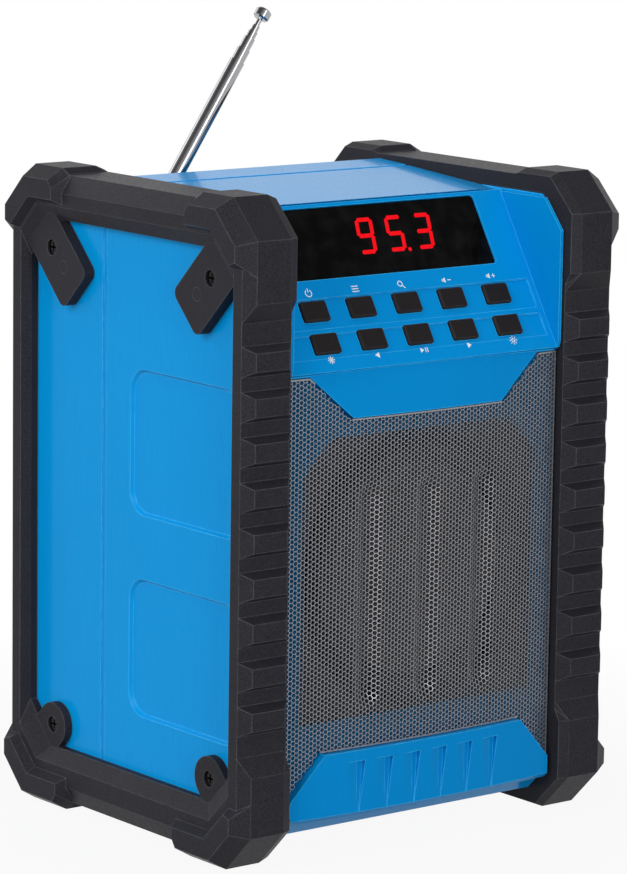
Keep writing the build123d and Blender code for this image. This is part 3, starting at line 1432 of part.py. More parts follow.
leg_base_x = (guard_inner_x, guard_outer_x)
leg_face_x = (rib_face_inner_x, rib_face_outer_x)
ring_full = half_octagon(ring_half_depth, ring_bottom, ring_top, ring_bottom_cut, ring_top_cut)
ring_small = half_octagon(ring_half_depth, ring_bottom + bar_bevel_drop, ring_top - bar_bevel_drop,
                          ring_bottom_cut - bar_bevel_drop, ring_top_cut - bar_bevel_drop)
window_points = half_octagon(window_half_depth, window_bottom, window_top, window_cut, window_cut)
window_wide = half_octagon(window_half_depth + window_bevel_side, window_bottom - window_bevel,
                           window_top + window_bevel, window_cut - window_bevel + window_bevel_side,
                           window_cut - window_bevel + window_bevel_side)
pocket_points = half_octagon(case_half_depth + guard_pocket_gap, case_bottom - guard_pocket_gap,
                             case_end_top + guard_pocket_gap, end_bottom_cut + guard_pocket_gap * tilt_cap,
                             end_top_cut + guard_pocket_gap * tilt_cap)
guard_seat_x = case_half_width + guard_seat_gap
block_ends = (
    (-1, block_top, block_top - ring_top, block_top_bar_end),
    (1, 0.0, ring_bottom, block_foot_bar_end),
)
diagonal = sqrt(0.5)
ring_inside = half_octagon(ring_half_depth - cut_clear, ring_bottom + cut_clear, ring_top - cut_clear,
                           ring_bottom_cut, ring_top_cut)
with BuildPart() as guard_half:
    add(loft_x(ring_full, bar_bevel_start_x, ring_small, guard_outer_x))
    add(loft_x(ring_full, guard_inner_x, ring_full, bar_bevel_start_x))
    for z_sign, z_base, end_proud, bar_end in block_ends:
        full = half_points(block_points(end_proud, bar_end), z_sign, z_base)
        add(loft_x(full, rib_face_inner_x, full, rib_face_outer_x))
        shrunk = [
            (y - (block_inner_bevel if y > ring_half_depth - 1 else 0),
             height + (block_inner_bevel if height < end_proud else 0))
            for y, height in block_points(end_proud, bar_end)
        ]
        add(loft_x(half_points(shrunk, z_sign, z_base), guard_inner_x, full, rib_face_inner_x))
        add(loft_x(half_points(cap_root_points(end_proud, bar_end), z_sign, z_base), rib_face_outer_x,
                   half_points(cap_face_points(bar_end), z_sign, z_base), cap_outer_x))
        leg_low = block_cut
        leg_z = z_base + z_sign * (leg_low + block_leg_end) / 2
        base_z = z_base + z_sign * (leg_low + block_leg_end + block_ramp) / 2
        add(rib_block(base_z, block_leg_end + block_ramp - leg_low, block_leg_end - leg_low,
                      leg_base_x, leg_face_x, leg_z))
    for index in range(rib_count):
        rib_z = rib_low_space + index * rib_pitch
        add(rib_block(rib_z, rib_base_height, rib_face_height, leg_base_x, leg_face_x, rib_z))
    add(loft_x(pocket_points, guard_inner_x - cut_clear, pocket_points, guard_seat_x), mode=Mode.SUBTRACT)
    add(loft_x(window_points, guard_seat_x - cut_clear, window_points, window_bevel_start_x),
        mode=Mode.SUBTRACT)
    add(loft_x(window_points, window_bevel_start_x, window_wide, guard_outer_x), mode=Mode.SUBTRACT)
    add(loft_x(window_wide, guard_outer_x, window_wide, guard_outer_x + block_proud), mode=Mode.SUBTRACT)
    with BuildSketch(Plane.YZ.offset(guard_seat_x)):
        with Locations((tab_screw_y + (tab_root - tab_reach) / 2 * diagonal,
                        tab_screw_z + (tab_root - tab_reach) / 2 * diagonal)):
            RectangleRounded(tab_root + tab_reach, tab_width, tab_corner, rotation=45)
        Polygon(*ring_inside, align=None, mode=Mode.INTERSECT)
    extrude(amount=tab_outer_x - guard_seat_x)
    with BuildSketch(Plane.YZ.offset(guard_seat_x)):
        with Locations((lobe_y, lobe_z)):
            Circle(lobe_radius)
            Rectangle(2 * lobe_radius + 2 * ring_wall, 2 * lobe_radius, rotation=-45,
                      align=(Align.MIN, Align.CENTER))
        Polygon(*ring_inside, align=None, mode=Mode.INTERSECT)
    extrude(amount=lobe_outer_x - guard_seat_x)
    for screw_y, screw_z, face_x in guard_screw_places[2:]:
        add(rod_along_x(screw_y, screw_z, guard_shank_radius + pin_gap, guard_seat_x - cut_clear,
                        cap_outer_x + cut_clear), mode=Mode.SUBTRACT)
        add(rod_along_x(screw_y, screw_z, guard_head_radius + head_gap,
                        face_x - guard_head_height - guard_head_sink, cap_outer_x + cut_clear),
                            mode=Mode.SUBTRACT)

with BuildPart() as right_guard:
    add(guard_half.part)
    mirror(about=Plane.XZ)
right_guard.part.label = "right_guard"

with BuildPart() as left_guard:
    add(mirror(right_guard.part, about=Plane.YZ))
left_guard.part.label = "left_guard"

with BuildPart() as guard_screws:
    for screw_y, screw_z, face_x in guard_screw_places:
        head_top_x = face_x - guard_head_sink
        for side in (-1, 1):
            add(rod_along_x(screw_y, screw_z, guard_shank_radius, side * (head_top_x - guard_shank_length),
                            side * head_top_x))
            add(rod_along_x(screw_y, screw_z, guard_head_radius, side * (head_top_x - guard_head_height),
                            side * head_top_x))
            cross_x = sorted((side * (head_top_x - cross_depth), side * (head_top_x + cut_clear)))
            for span_y, span_z in ((cross_length, cross_width), (cross_width, cross_length)):
                add(block_xyz(cross_x, (screw_y - span_y / 2, screw_y + span_y / 2),
                              (screw_z - span_z / 2, screw_z + span_z / 2)), mode=Mode.SUBTRACT)
guard_screws.part.label = "guard_screws"

# ---------------------------------------------------------------- antenna
cheek_inner = tang_width / 2 + slip_gap
cheek_outer = cheek_inner + turret_cheek_width
with BuildPart() as antenna_turret:
    add(rod_along(turret_plane, turret_flange_radius, 0, turret_flange_thickness))
    add(rod_along(turret_plane, turret_shank_radius, -shell_wall - retainer_thickness - slip_gap, pin_gap))
    for side in (-1, 1):
        cheek_h = sorted((side * cheek_inner, side * cheek_outer))
        with BuildSketch(turret_plane):
            with Locations(((cheek_h[0] + cheek_h[1]) / 2, 0)):
                Rectangle(cheek_h[1] - cheek_h[0], 2 * turret_cheek_radius)
        extrude(amount=antenna_height)
        with BuildSketch(hinge_plane.offset(cheek_h[0])):
            Circle(turret_cheek_radius)
        extrude(amount=cheek_h[1] - cheek_h[0])
    add(rod_along(hinge_plane, antenna_pin_radius + pin_gap, -2 * cheek_outer, 2 * cheek_outer),
        mode=Mode.SUBTRACT)
antenna_turret.part.label = "antenna_turret"

with BuildPart() as antenna_retainer:
    with BuildSketch(turret_plane.offset(-shell_wall - slip_gap)):
        Circle(retainer_radius)
        Circle(turret_shank_radius + pin_gap, mode=Mode.SUBTRACT)
    extrude(amount=-retainer_thickness)
antenna_retainer.part.label = "antenna_retainer"

with BuildPart() as antenna_pin:
    add(rod_along(hinge_plane, antenna_pin_radius, -cheek_outer, cheek_outer))
antenna_pin.part.label = "antenna_pin"

with BuildPart() as antenna_knuckle:
    with BuildSketch(hinge_plane.offset(-tang_width / 2)):
        Circle(tang_radius)
        with Locations((ferrule_end / 2, 0)):
            Rectangle(ferrule_end, 2 * tang_radius)
    extrude(amount=tang_width)
    add(rod_along(antenna_plane, tube_radius, ferrule_start, ferrule_end))
    add(rod_along(hinge_plane, antenna_pin_radius + pin_gap, -tang_width, tang_width), mode=Mode.SUBTRACT)
antenna_knuckle.part.label = "antenna_knuckle"

tube_ends = [tube_end]
for exposed in tube_exposed:
    tube_ends.append(tube_ends[-1] + exposed)
antenna_tubes = []
for index, end in enumerate(tube_ends):
    outer = tube_radius - index * tube_step
    with BuildPart() as tube:
        with BuildSketch(antenna_plane.offset(ferrule_end + index * tube_stagger)):
            Circle(outer)
            Circle(outer - tube_wall, mode=Mode.SUBTRACT)
        extrude(amount=end - ferrule_end - index * tube_stagger)
    tube.part.label = f"antenna_tube_{index + 1}"
    antenna_tubes.append(tube.part)
    export_step(tube.part, f"parts/antenna_tube_{index + 1}.step")

rod_end = tube_ends[-1] + rod_exposed
with BuildPart() as antenna_rod:
    add(rod_along(antenna_plane, rod_radius, ferrule_end + len(tube_ends) * tube_stagger, rod_end))
antenna_rod.part.label = "antenna_rod"

with BuildPart() as antenna_tip:
    with BuildSketch(antenna_plane.offset(rod_end)):
        Circle(tip_radius)
    extrude(amount=tip_length)
    chamfer(antenna_tip.edges().filter_by(GeomType.CIRCLE), length=tip_bevel)
antenna_tip.part.label = "antenna_tip"

finished = [
    front_shell, shell_gasket, rear_shell, control_fascia, display_window, display_module, control_board,
    key_switches, fascia_screws, board_screws, lower_fascia, speaker_grille, speaker_baffle, speaker_basket,
    speaker_screws, speaker_top_plate, speaker_magnet, speaker_yoke, speaker_cone, voice_coil, dust_cap,
    speaker_surround, speaker_spider, battery_tray, battery_cells, battery_contacts, battery_door, port_plate,
    dc_inlet, usb_port, aux_jack, aux_nut, port_cover, cover_pins, main_board, shell_screws, right_guard,
    left_guard, guard_screws, antenna_turret, antenna_retainer, antenna_pin, antenna_knuckle, antenna_rod,
    antenna_tip,
]
for piece in finished:
    export_step(piece.part, f"parts/{piece.part.label}.step")
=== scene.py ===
"""Looks of a rugged tabletop jobsite radio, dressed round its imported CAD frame.

Every sub-assembly is a class with its sizes as fields, in metres. It models the
pieces that the frame leaves plain, such as the punched grille, the display's
digits and the printed key marks, and it dresses the CAD nodes that it owns.
"""
import json
import logging
import math
from contextlib import contextmanager
from dataclasses import dataclass, field
from enum import Enum
from functools import partial
from typing import Any, Callable, Dict, Iterator, List, Optional, Sequence, Tuple

import bmesh
import bpy
from mathutils import Matrix, Vector


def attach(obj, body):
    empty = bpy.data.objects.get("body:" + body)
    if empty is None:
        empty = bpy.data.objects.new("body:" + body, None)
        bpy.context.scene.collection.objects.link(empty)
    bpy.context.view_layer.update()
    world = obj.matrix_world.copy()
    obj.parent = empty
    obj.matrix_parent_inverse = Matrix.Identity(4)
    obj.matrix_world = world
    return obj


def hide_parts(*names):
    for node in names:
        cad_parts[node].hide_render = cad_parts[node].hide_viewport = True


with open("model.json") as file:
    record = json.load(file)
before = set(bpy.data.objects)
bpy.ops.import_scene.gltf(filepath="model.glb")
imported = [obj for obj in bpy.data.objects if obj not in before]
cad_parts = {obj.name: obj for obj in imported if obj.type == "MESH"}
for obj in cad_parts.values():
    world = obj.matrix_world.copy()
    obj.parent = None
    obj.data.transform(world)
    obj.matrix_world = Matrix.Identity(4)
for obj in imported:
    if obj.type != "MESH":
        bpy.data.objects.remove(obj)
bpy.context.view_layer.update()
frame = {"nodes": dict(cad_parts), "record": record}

log = logging.getLogger("jobsite_radio")

Colour = Tuple[float, float, float]
Point = Tuple[float, float, float]
Spot = Tuple[float, float]
Socket = bpy.types.NodeSocket
Piece = bpy.types.Object

MM = 0.001
HAIR = 0.01 * MM        # less than any real gap between points
TRIANGLE = 3
HEXAGON = 6


def srgb(red: int, green: int, blue: int) -> Colour:
    """Turns a colour as it shows on a screen into the linear colour a shader takes.

    Args:
        red: red from 0 to 255.
        green: green from 0 to 255.
        blue: blue from 0 to 255.

    Returns:
        The same colour as linear red, green and blue from 0 to 1.
    """
    def linear(value: int) -> float:
        """Linear light of one channel, by the screen's own curve."""
        share = value / 255
        return share / 12.92 if share <= 0.04045 else ((share + 0.055) / 1.055) ** 2.4
    return linear(red), linear(green), linear(blue)


# ---------------------------------------------------------------- hand tools

def focus(piece: Piece) -> None:
    """Makes one piece the only selected and the active one.

    Args:
        piece: the piece.
    """
    bpy.ops.object.select_all(action="DESELECT")
    piece.select_set(True)
    bpy.context.view_layer.objects.active = piece


@contextmanager
def edit(piece: Piece, kind: str = "VERT", whole: bool = False) -> Iterator[None]:
    """Opens a piece in edit mode.

    Args:
        piece: the mesh object to work on.
        kind: what is selected there, VERT, EDGE or FACE.
        whole: True to select all of it, False to select nothing.
    """
    focus(piece)
    bpy.ops.object.mode_set(mode="EDIT")
    bpy.ops.mesh.select_mode(type=kind)
    bpy.ops.mesh.select_all(action="SELECT" if whole else "DESELECT")
    yield
    bpy.ops.object.mode_set(mode="OBJECT")


def pick(piece: Piece, test: Callable[[Vector], bool], kind: str = "VERT") -> int:
    """Selects what passes a test by its place, in edit mode.

    Args:
        piece: the piece that is open in edit mode.
        test: says from a vertex's place, or a face's or edge's middle, whether it is taken.
        kind: VERT, EDGE or FACE.

    Returns:
        How many were selected.
    """
    bm = bmesh.from_edit_mesh(piece.data)
    bm.select_mode = {kind}
    groups: Dict[str, Tuple[Any, Callable[[Any], Vector]]] = {
        "VERT": (bm.verts, lambda vert: vert.co),
        "EDGE": (bm.edges, lambda edge: (edge.verts[0].co + edge.verts[1].co) / 2),
        "FACE": (bm.faces, lambda face: face.calc_center_median()),
    }
    for elements, _ in groups.values():
        for element in elements:
            element.select = False
    elements, middle = groups[kind]
    taken = [element for element in elements if test(middle(element))]
    for element in taken:
        element.select_set(True)
    bm.select_flush_mode()
    bmesh.update_edit_mesh(piece.data)
    return len(taken)


def disc(corners: int, radius: float, filled: bool = True, **where: Any) -> Piece:
    """Starts a piece as a flat disc or a closed line.

    Args:
        corners: how many corners it has.
        radius: from its middle to a corner.
        filled: whether it is a face, or only its outline.
        where: its location and rotation.

    Returns:
        The new piece.
    """
    bpy.ops.mesh.primitive_circle_add(
        vertices=corners, radius=radius, fill_type="NGON" if filled else "NOTHING", **where)
    return bpy.context.active_object


def settle(piece: Piece) -> None:
    """Moves a piece's place, turn and scale into its mesh."""
    focus(piece)
    bpy.ops.object.transform_apply(location=True, rotation=True, scale=True)


def place(piece: Piece, where: Matrix) -> None:
    """Puts a piece where a matrix says and moves that into its mesh."""
    piece.matrix_world = where
    settle(piece)


def apply_modifier(piece: Piece, kind: str, **settings: Any) -> None:
    """Adds one modifier and applies it.

    Args:
        piece: the mesh object.
        kind: Blender's name for the modifier.
        settings: the modifier's own values.
    """
    focus(piece)
    modifier = piece.modifiers.new(kind.title(), kind)
    for name, value in settings.items():
        setattr(modifier, name, value)
    bpy.ops.object.modifier_apply(modifier=modifier.name)


def duplicate(piece: Piece, name: str) -> Piece:
    """Copies a piece with a mesh of its own.

    Args:
        piece: what is copied.
        name: the copy's name.

    Returns:
        The copy.
    """
    twin = piece.copy()
    twin.data = piece.data.copy()
    twin.name = name
    bpy.context.scene.collection.objects.link(twin)
    return twin


def joined(pieces: Sequence[Piece], name: str) -> Piece:
    """Joins pieces into one.

    Args:
        pieces: the pieces, of which the first is kept.
        name: the joined piece's name.

    Returns:
        The joined piece.
    """
    focus(pieces[0])
    for piece in pieces[1:]:
        piece.select_set(True)
    if len(pieces) > 1:
        bpy.ops.object.join()
    pieces[0].name = name
    pieces[0].data.name = name
    return pieces[0]


def outward(piece: Piece, facing: Optional[Point] = None) -> None:
    """Turns all faces of a piece the same way.

    Args:
        piece: the piece, closed or flat.
        facing: which way a flat piece faces.
    """
    with edit(piece, whole=True):
        bpy.ops.mesh.normals_make_consistent(inside=False)
        if facing is not None:
            faces = bmesh.from_edit_mesh(piece.data).faces
            faces.ensure_lookup_table()
            if faces[0].normal.dot(Vector(facing)) < 0:
                bpy.ops.mesh.flip_normals()


# ---------------------------------------------------------------- surfaces

CLEAR_SPAN: Spot = (0.35, 0.65)     # the part of a noise over which a change shows clearly
SOFT_SPAN: Spot = (0.3, 0.7)        # a wider part of it, for a softer change
EDGE_SPAN: Spot = (0.996, 0.91)     # cosines of the turn at which an edge's mark begins and is full
BLACK: Colour = (0.0, 0.0, 0.0)
WHITE: Colour = (1.0, 1.0, 1.0)


class Wiring:
    """Adds nodes to a node tree and links them."""

    def __init__(self, tree: bpy.types.NodeTree) -> None:
        """Takes the tree that the nodes go into."""
        self.tree = tree

    def find(self, kind: str) -> bpy.types.Node:
        """The node of one type that the tree came with."""
        return next(node for node in self.tree.nodes if node.type == kind)

    def node(self, kind: str, inputs: Optional[Dict[Any, Any]] = None, **settings: Any) -> bpy.types.Node:
        """Adds a node.

        Args:
            kind: Blender's name for the node.
            inputs: values or sockets for its inputs, by name or number.
            settings: the node's own properties.

        Returns:
            The node.
        """
        made = self.tree.nodes.new(kind)
        for name, value in settings.items():
            setattr(made, name, value)
        for key, value in (inputs or {}).items():
            self.feed(made.inputs[key], value)
        return made

    def feed(self, socket: Socket, value: Any) -> None:
        """Gives an input a value, or links it to another node's output.

        Args:
            socket: the input.
            value: a number, a colour or an output.
        """
        if isinstance(value, bpy.types.NodeSocket):
            self.tree.links.new(value, socket)
        elif isinstance(value, tuple) and len(value) == 3 and socket.type == "RGBA":
            socket.default_value = (*value, 1.0)
        else:
            socket.default_value = value

    def spread(self, value: Socket, low: float, high: float, start: float, end: float) -> Socket:
        """Maps a value from low..high to start..end, held at both ends."""
        return self.node("ShaderNodeMapRange", {
            0: value, 1: low, 2: high, 3: start, 4: end}, clamp=True).outputs[0]

    def sum(self, operation: str, first: Any, second: Any = 0.0) -> Socket:
        """One step of arithmetic on values."""
        return self.node("ShaderNodeMath", {0: first, 1: second}, operation=operation).outputs[0]

    def seen(self) -> Socket:
        """Tells what is seen from what only gives light.

        Returns:
            1 for what the camera, a mirror or glass sees, and 0 for light.
        """
        path = self.node("ShaderNodeLightPath").outputs
        both = self.sum("ADD", path["Is Camera Ray"], path["Is Glossy Ray"])
        return self.node("ShaderNodeMath", {0: both, 1: path["Is Transmission Ray"]},
                         operation="ADD", use_clamp=True).outputs[0]


class Surface(Wiring):
    """A node material in the making, in the part's own coordinates and real sizes."""

    def __init__(self, name: str) -> None:
        """Starts a material with its shader and its coordinates.

        Args:
            name: the material's name.
        """
        self.material = bpy.data.materials.new(name)
        self.material.use_nodes = True
        super().__init__(self.material.node_tree)
        self.shader = self.find("BSDF_PRINCIPLED")
        self.output = self.find("OUTPUT_MATERIAL")
        self.space = self.node("ShaderNodeTexCoord").outputs["Object"]

    def set(self, **values: Any) -> None:
        """Sets the shader's inputs; an underscore in a name stands for a space."""
        for name, value in values.items():
            self.feed(self.shader.inputs[name.replace("_", " ")], value)

    def grain(self, size: float, detail: float = 2.0, stretch: Point = (1, 1, 1),
              turn: Point = (0, 0, 0), rough: float = 0.5) -> Socket:
        """Noise whose specks are about as large as stated.

        Args:
            size: size of a speck in metres.
            detail: how many finer layers it has.
            stretch: how many times finer it is along each axis.
            turn: angles in radians that the pattern is turned by.
            rough: how strong the finer layers are.

        Returns:
            A value that varies round 0.5.
        """
        mapped = self.node("ShaderNodeMapping", {
            "Vector": self.space, "Rotation": turn, "Scale": stretch}).outputs[0]
        return self.node("ShaderNodeTexNoise", {
            "Vector": mapped, "Scale": 1 / size, "Detail": detail, "Roughness": rough}).outputs[0]

    def mixed(self, share: Any, first: Any, second: Any) -> Socket:
        """Mixes two colours; the share is how much of the second there is."""
        return self.node("ShaderNodeMix", {0: share, 6: first, 7: second}, data_type="RGBA").outputs[2]

    def blend(self, value: Socket, span: Spot, first: Any, second: Any, most: float = 1.0) -> Socket:
        """Goes from one colour to another as a value crosses a span.

        Args:
            value: what decides.
            span: where the change begins and where it ends.
            first: colour or socket before the span.
            second: colour or socket after it.
            most: how much of the second colour there is after it.

        Returns:
            The mixed colour.
        """
        return self.mixed(self.spread(value, *span, 0.0, most), first, second)

    def varied(self, value: Socket, roughness: float, less: float, more: float) -> Socket:
        """A roughness that a noise moves between two shares of the stated one."""
        return self.spread(value, *SOFT_SPAN, roughness * less, min(1.0, roughness * more))

    def edge(self, width: float) -> Socket:
        """Finds the edges of the shape.

        Args:
            width: how far from an edge its mark reaches, in metres.

        Returns:
            1 on an edge and 0 away from it.
        """
        soft = self.node("ShaderNodeBevel", {"Radius": width}, samples=4).outputs[0]
        flat = self.node("ShaderNodeNewGeometry").outputs["Normal"]
        turned = self.node("ShaderNodeVectorMath", {0: soft, 1: flat}, operation="DOT_PRODUCT")
        return self.spread(turned.outputs["Value"], *EDGE_SPAN, 0.0, 1.0)

    def within(self, box: Tuple[Point, Point]) -> Socket:
        """Makes a mask that is 1 inside a box, such as the wall behind the grille where shade is painted.

        Args:
            box: its low and its high corner.

        Returns:
            The mask.
        """
        axes = self.node("ShaderNodeSeparateXYZ", {0: self.space}).outputs
        mask: Any = 1.0
        for axis, low, high in zip(axes, *box):
            mask = self.sum("MULTIPLY", mask, self.sum("GREATER_THAN", axis, low))
            mask = self.sum("MULTIPLY", mask, self.sum("LESS_THAN", axis, high))
        return mask

    def relief(self, *layers: Tuple[Socket, float]) -> None:
        """Gives the shader fine relief.

        Args:
            layers: heights from 0 to 1, each with its depth in metres.
        """
        normal: Dict[Any, Any] = {}
        for height, depth in layers:
            bump = self.node("ShaderNodeBump", {
                "Height": height, "Distance": depth, "Strength": 1.0, **normal})
            normal = {"Normal": bump.outputs[0]}
        self.set(**normal)


@dataclass(frozen=True)
class Finish:
    """What every finish has: the slot it belongs to, its main colour and its roughness."""

    slot: str
    colour: Colour
    roughness: float = 0.5

    def make(self) -> bpy.types.Material:
        """Builds the material.

        Returns:
            The finished material.
        """
        surface = Surface(self.slot)
        self.lay(surface)
        return surface.material

    def lay(self, s: Surface) -> None:
        """Gives a surface this finish's colours, roughness and relief.

        Args:
            s: the surface that it is laid on.
        """
        raise NotImplementedError

    def toned(self, share: float, more: float = 0.0) -> Colour:
        """The main colour at a share of its strength, with a little added to each channel."""
        return tuple(min(1.0, channel * share + more) for channel in self.colour)


@dataclass(frozen=True)
class Moulded(Finish):
    """A moulded surface with a spark-eroded grain, faint flow marks, edges lightened as rubbed wear and
    painted highlight, and painted shade inside a box if it has one.
    """

    worn_and_highlight: Colour = (0.5, 0.5, 0.5)
    wear_and_highlight: float = 0.3
    edge_width: float = 0.5 * MM
    grain_size: float = 0.25 * MM
    grain_depth: float = 0.02 * MM
    flow: float = 0.05
    dust: float = 0.0
    gloss: float = 0.25
    lacquer: float = 0.0
    lacquer_index: float = 1.12
    lacquer_roughness: float = 0.1
    painted_shade: float = 0.0
    painted_shade_box: Tuple[Point, Point] = ((0.0, 0.0, 0.0), (0.0, 0.0, 0.0))
    cloud_size: float = 26 * MM
    patch_size: float = 9 * MM
    rub_and_highlight_size: float = 3.5 * MM
    scuff_size: float = 1.1 * MM

    def lay(self, s: Surface) -> None:
        """Lays flow marks, specks and dust, lightens the edges as rubbed wear and painted highlight, paints
        shade inside its box, and scuffs the faces.

        Args:
            s: the surface that it is laid on.
        """
        cloud = s.grain(self.cloud_size, 3.0, (1.0, 1.0, 0.45))
        base = s.blend(cloud, CLEAR_SPAN, self.toned(1 - self.flow), self.toned(1 + self.flow))
        speck = s.grain(self.grain_size * 1.6, 1.0)
        base = s.blend(speck, (0.3, 0.75), base, self.worn_and_highlight, self.flow * 2)
        if self.dust > 0:
            patch = s.grain(self.patch_size, 5.0, rough=0.65)
            base = s.blend(patch, (0.52, 0.8), base, self.worn_and_highlight, self.dust)
        # The edges are lightened towards the pale edge colour, which stands for rubbed wear and for painted
        # highlight at once.
        rub_and_highlight = s.spread(s.grain(self.rub_and_highlight_size, 4.0, rough=0.6), 0.3, 0.62, 0.35, 1.0)
        mask = s.sum("MULTIPLY", s.edge(self.edge_width), rub_and_highlight)
        base = s.mixed(s.sum("MULTIPLY", mask, self.wear_and_highlight), base, self.worn_and_highlight)
        # Painted shade: the paint is darkened towards black inside the given box, as on the wall behind the
        # grille.
        if self.painted_shade > 0:
            base = s.mixed(s.sum("MULTIPLY", s.within(self.painted_shade_box), self.painted_shade), base, BLACK)
        scuff = s.grain(self.scuff_size, 3.0, (1.0, 1.0, 0.08), (0.5, 0.3, 0.0))
        s.set(Base_Color=base, Specular_IOR_Level=self.gloss,
              Roughness=s.varied(scuff, self.roughness, 0.86, 1.12))
        if self.lacquer > 0:
            s.set(Coat_Weight=self.lacquer, Coat_IOR=self.lacquer_index,
                  Coat_Roughness=self.lacquer_roughness)
        pit = s.grain(self.grain_size, 2.0, rough=0.6)
        s.relief((pit, self.grain_depth), (cloud, self.grain_depth * 1.5))


@dataclass(frozen=True)
class Plated(Finish):
    """Bare, blackened or plated metal with fine polishing lines, a few stains and edges brightened as rubbed
    wear and painted highlight.
    """

    stain: Colour = (0.3, 0.3, 0.3)
    stain_size: float = 2.4 * MM
    stain_share: float = 0.45
    lines: Point = (1.0, 1.0, 1.0)
    line_size: float = 0.35 * MM
    line_depth: float = 0.003 * MM
    metal: float = 1.0
    rub_and_highlight: float = 0.35
    rub_and_highlight_width: float = 0.18 * MM

    def lay(self, s: Surface) -> None:
        """Lays the metal with its stains, polishes it in lines and brightens its edges as rubbed wear and
        painted highlight.

        Args:
            s: the surface that it is laid on.
        """
        line = s.grain(self.line_size, 3.0, self.lines)
        spot = s.grain(self.stain_size, 4.0, rough=0.65)
        base = s.blend(spot, (0.5, 0.78), self.colour, self.stain, self.stain_share)
        # Brightened edges: rubbed wear and painted highlight together.
        base = s.mixed(s.sum("MULTIPLY", s.edge(self.rub_and_highlight_width), self.rub_and_highlight), base, self.toned(1.6, 0.03))
        s.set(Base_Color=base, Metallic=self.metal, Roughness=s.varied(line, self.roughness, 0.75, 1.35))
        s.relief((line, self.line_depth))


@dataclass(frozen=True)
class SmokedPane(Finish):
    """Glossy smoked acrylic with a deep black back and hairline wiping marks."""

    gloss: float = 0.03
    hard_coat: float = 0.02
    hair_size: float = 0.5 * MM
    hair_depth: float = 0.001 * MM
    hair_roughness: float = 0.12

    def lay(self, s: Surface) -> None:
        """Lays the deep black and the wiping marks.

        Args:
            s: the surface that it is laid on.
        """
        base = s.blend(s.grain(6 * MM, 2.0), (0.4, 0.7), self.colour, self.toned(1.8, 0.002))
        hair = s.grain(self.hair_size, 2.0, (0.04, 1.0, 1.0), (0.4, 0.2, 0.6))
        s.set(Base_Color=base, Specular_IOR_Level=self.gloss, Coat_Weight=self.hard_coat, Coat_Roughness=0.03,
              Roughness=s.spread(hair, 0.55, 0.75, self.roughness, self.roughness + self.hair_roughness))
        s.relief((hair, self.hair_depth))


@dataclass(frozen=True)
class CircuitBoard(Finish):
    """Green solder mask over copper tracks, with tinned pads."""

    track: Colour = (0.03, 0.16, 0.06)
    track_pitch: float = 3.2 * MM
    pad: Colour = (0.55, 0.55, 0.5)
    pad_pitch: float = 2.1 * MM
    copper_height: float = 0.035 * MM
    weave_size: float = 0.4 * MM
    weave_depth: float = 0.004 * MM

    def lay(self, s: Surface) -> None:
        """Lays tracks and pads over the woven board.

        Args:
            s: the surface that it is laid on.
        """
        tracks = s.spread(self.net(s, self.track_pitch, 0.55, "DISTANCE_TO_EDGE"), 0.03, 0.06, 1.0, 0.0)
        pads = s.spread(self.net(s, self.pad_pitch, 0.4, "F1"), 0.1, 0.16, 1.0, 0.0)
        base = s.mixed(pads, s.mixed(tracks, self.colour, self.track), self.pad)
        weave = s.grain(self.weave_size, 1.0, (1.0, 1.0, 0.3))
        s.set(Base_Color=base, Metallic=s.sum("MULTIPLY", pads, 0.9),
              Roughness=s.varied(weave, self.roughness, 0.8, 1.2))
        s.relief((s.sum("MAXIMUM", tracks, pads), self.copper_height), (weave, self.weave_depth))

    @staticmethod
    def net(s: Surface, pitch: float, scatter: float, feature: str) -> Socket:
        """How far a place is from the middle or the border of its cell in an uneven net."""
        return s.node("ShaderNodeTexVoronoi", {"Vector": s.space, "Scale": 1 / pitch, "Randomness": scatter},
                      feature=feature).outputs["Distance"]


@dataclass(frozen=True)
class PressedPaper(Finish):
    """Felted loudspeaker paper with fibres and faint pressed rings round the axis."""

    fibre: Colour = (0.12, 0.11, 0.1)
    fibre_size: float = 0.7 * MM
    fibre_depth: float = 0.05 * MM
    axis_height: float = 94.5 * MM
    ring_pitch: float = 2.6 * MM
    ring_depth: float = 0.06 * MM

    def lay(self, s: Surface) -> None:
        """Lays the fibres and presses the rings.

        Args:
            s: the surface that it is laid on.
        """
        centred = s.node("ShaderNodeMapping", {
            "Vector": s.space, "Location": (0, 0, -self.axis_height), "Scale": (1, 0, 1)}).outputs[0]
        radius = s.node("ShaderNodeVectorMath", {0: centred}, operation="LENGTH").outputs["Value"]
        wave = s.sum("SINE", s.sum("MULTIPLY", radius, 2 * math.pi / self.ring_pitch))
        fibres = s.grain(self.fibre_size, 4.0, (0.35, 1.0, 1.0), (0.0, 0.7, 0.0), rough=0.7)
        s.set(Base_Color=s.blend(fibres, (0.42, 0.7), self.colour, self.fibre),
              Roughness=s.varied(fibres, self.roughness, 0.9, 1.1))
        s.relief((wave, self.ring_depth), (fibres, self.fibre_depth))


@dataclass(frozen=True)
class WoundWire(Finish):
    """Enamelled wire wound round the speaker axis."""

    wire: float = 0.22 * MM

    def lay(self, s: Surface) -> None:
        """Lays the turns side by side, with painted shade in the grooves where they meet.

        Args:
            s: the surface that it is laid on.
        """
        along = s.node("ShaderNodeSeparateXYZ", {0: s.space}).outputs["Y"]
        turns = s.sum("ABSOLUTE", s.sum("SINE", s.sum("MULTIPLY", along, math.pi / self.wire)))
        s.set(Base_Color=s.mixed(turns, self.toned(0.35), self.colour), Metallic=0.9,
              Roughness=s.spread(turns, 0.0, 1.0, self.roughness * 1.6, self.roughness))
        s.relief((turns, self.wire * 0.4))


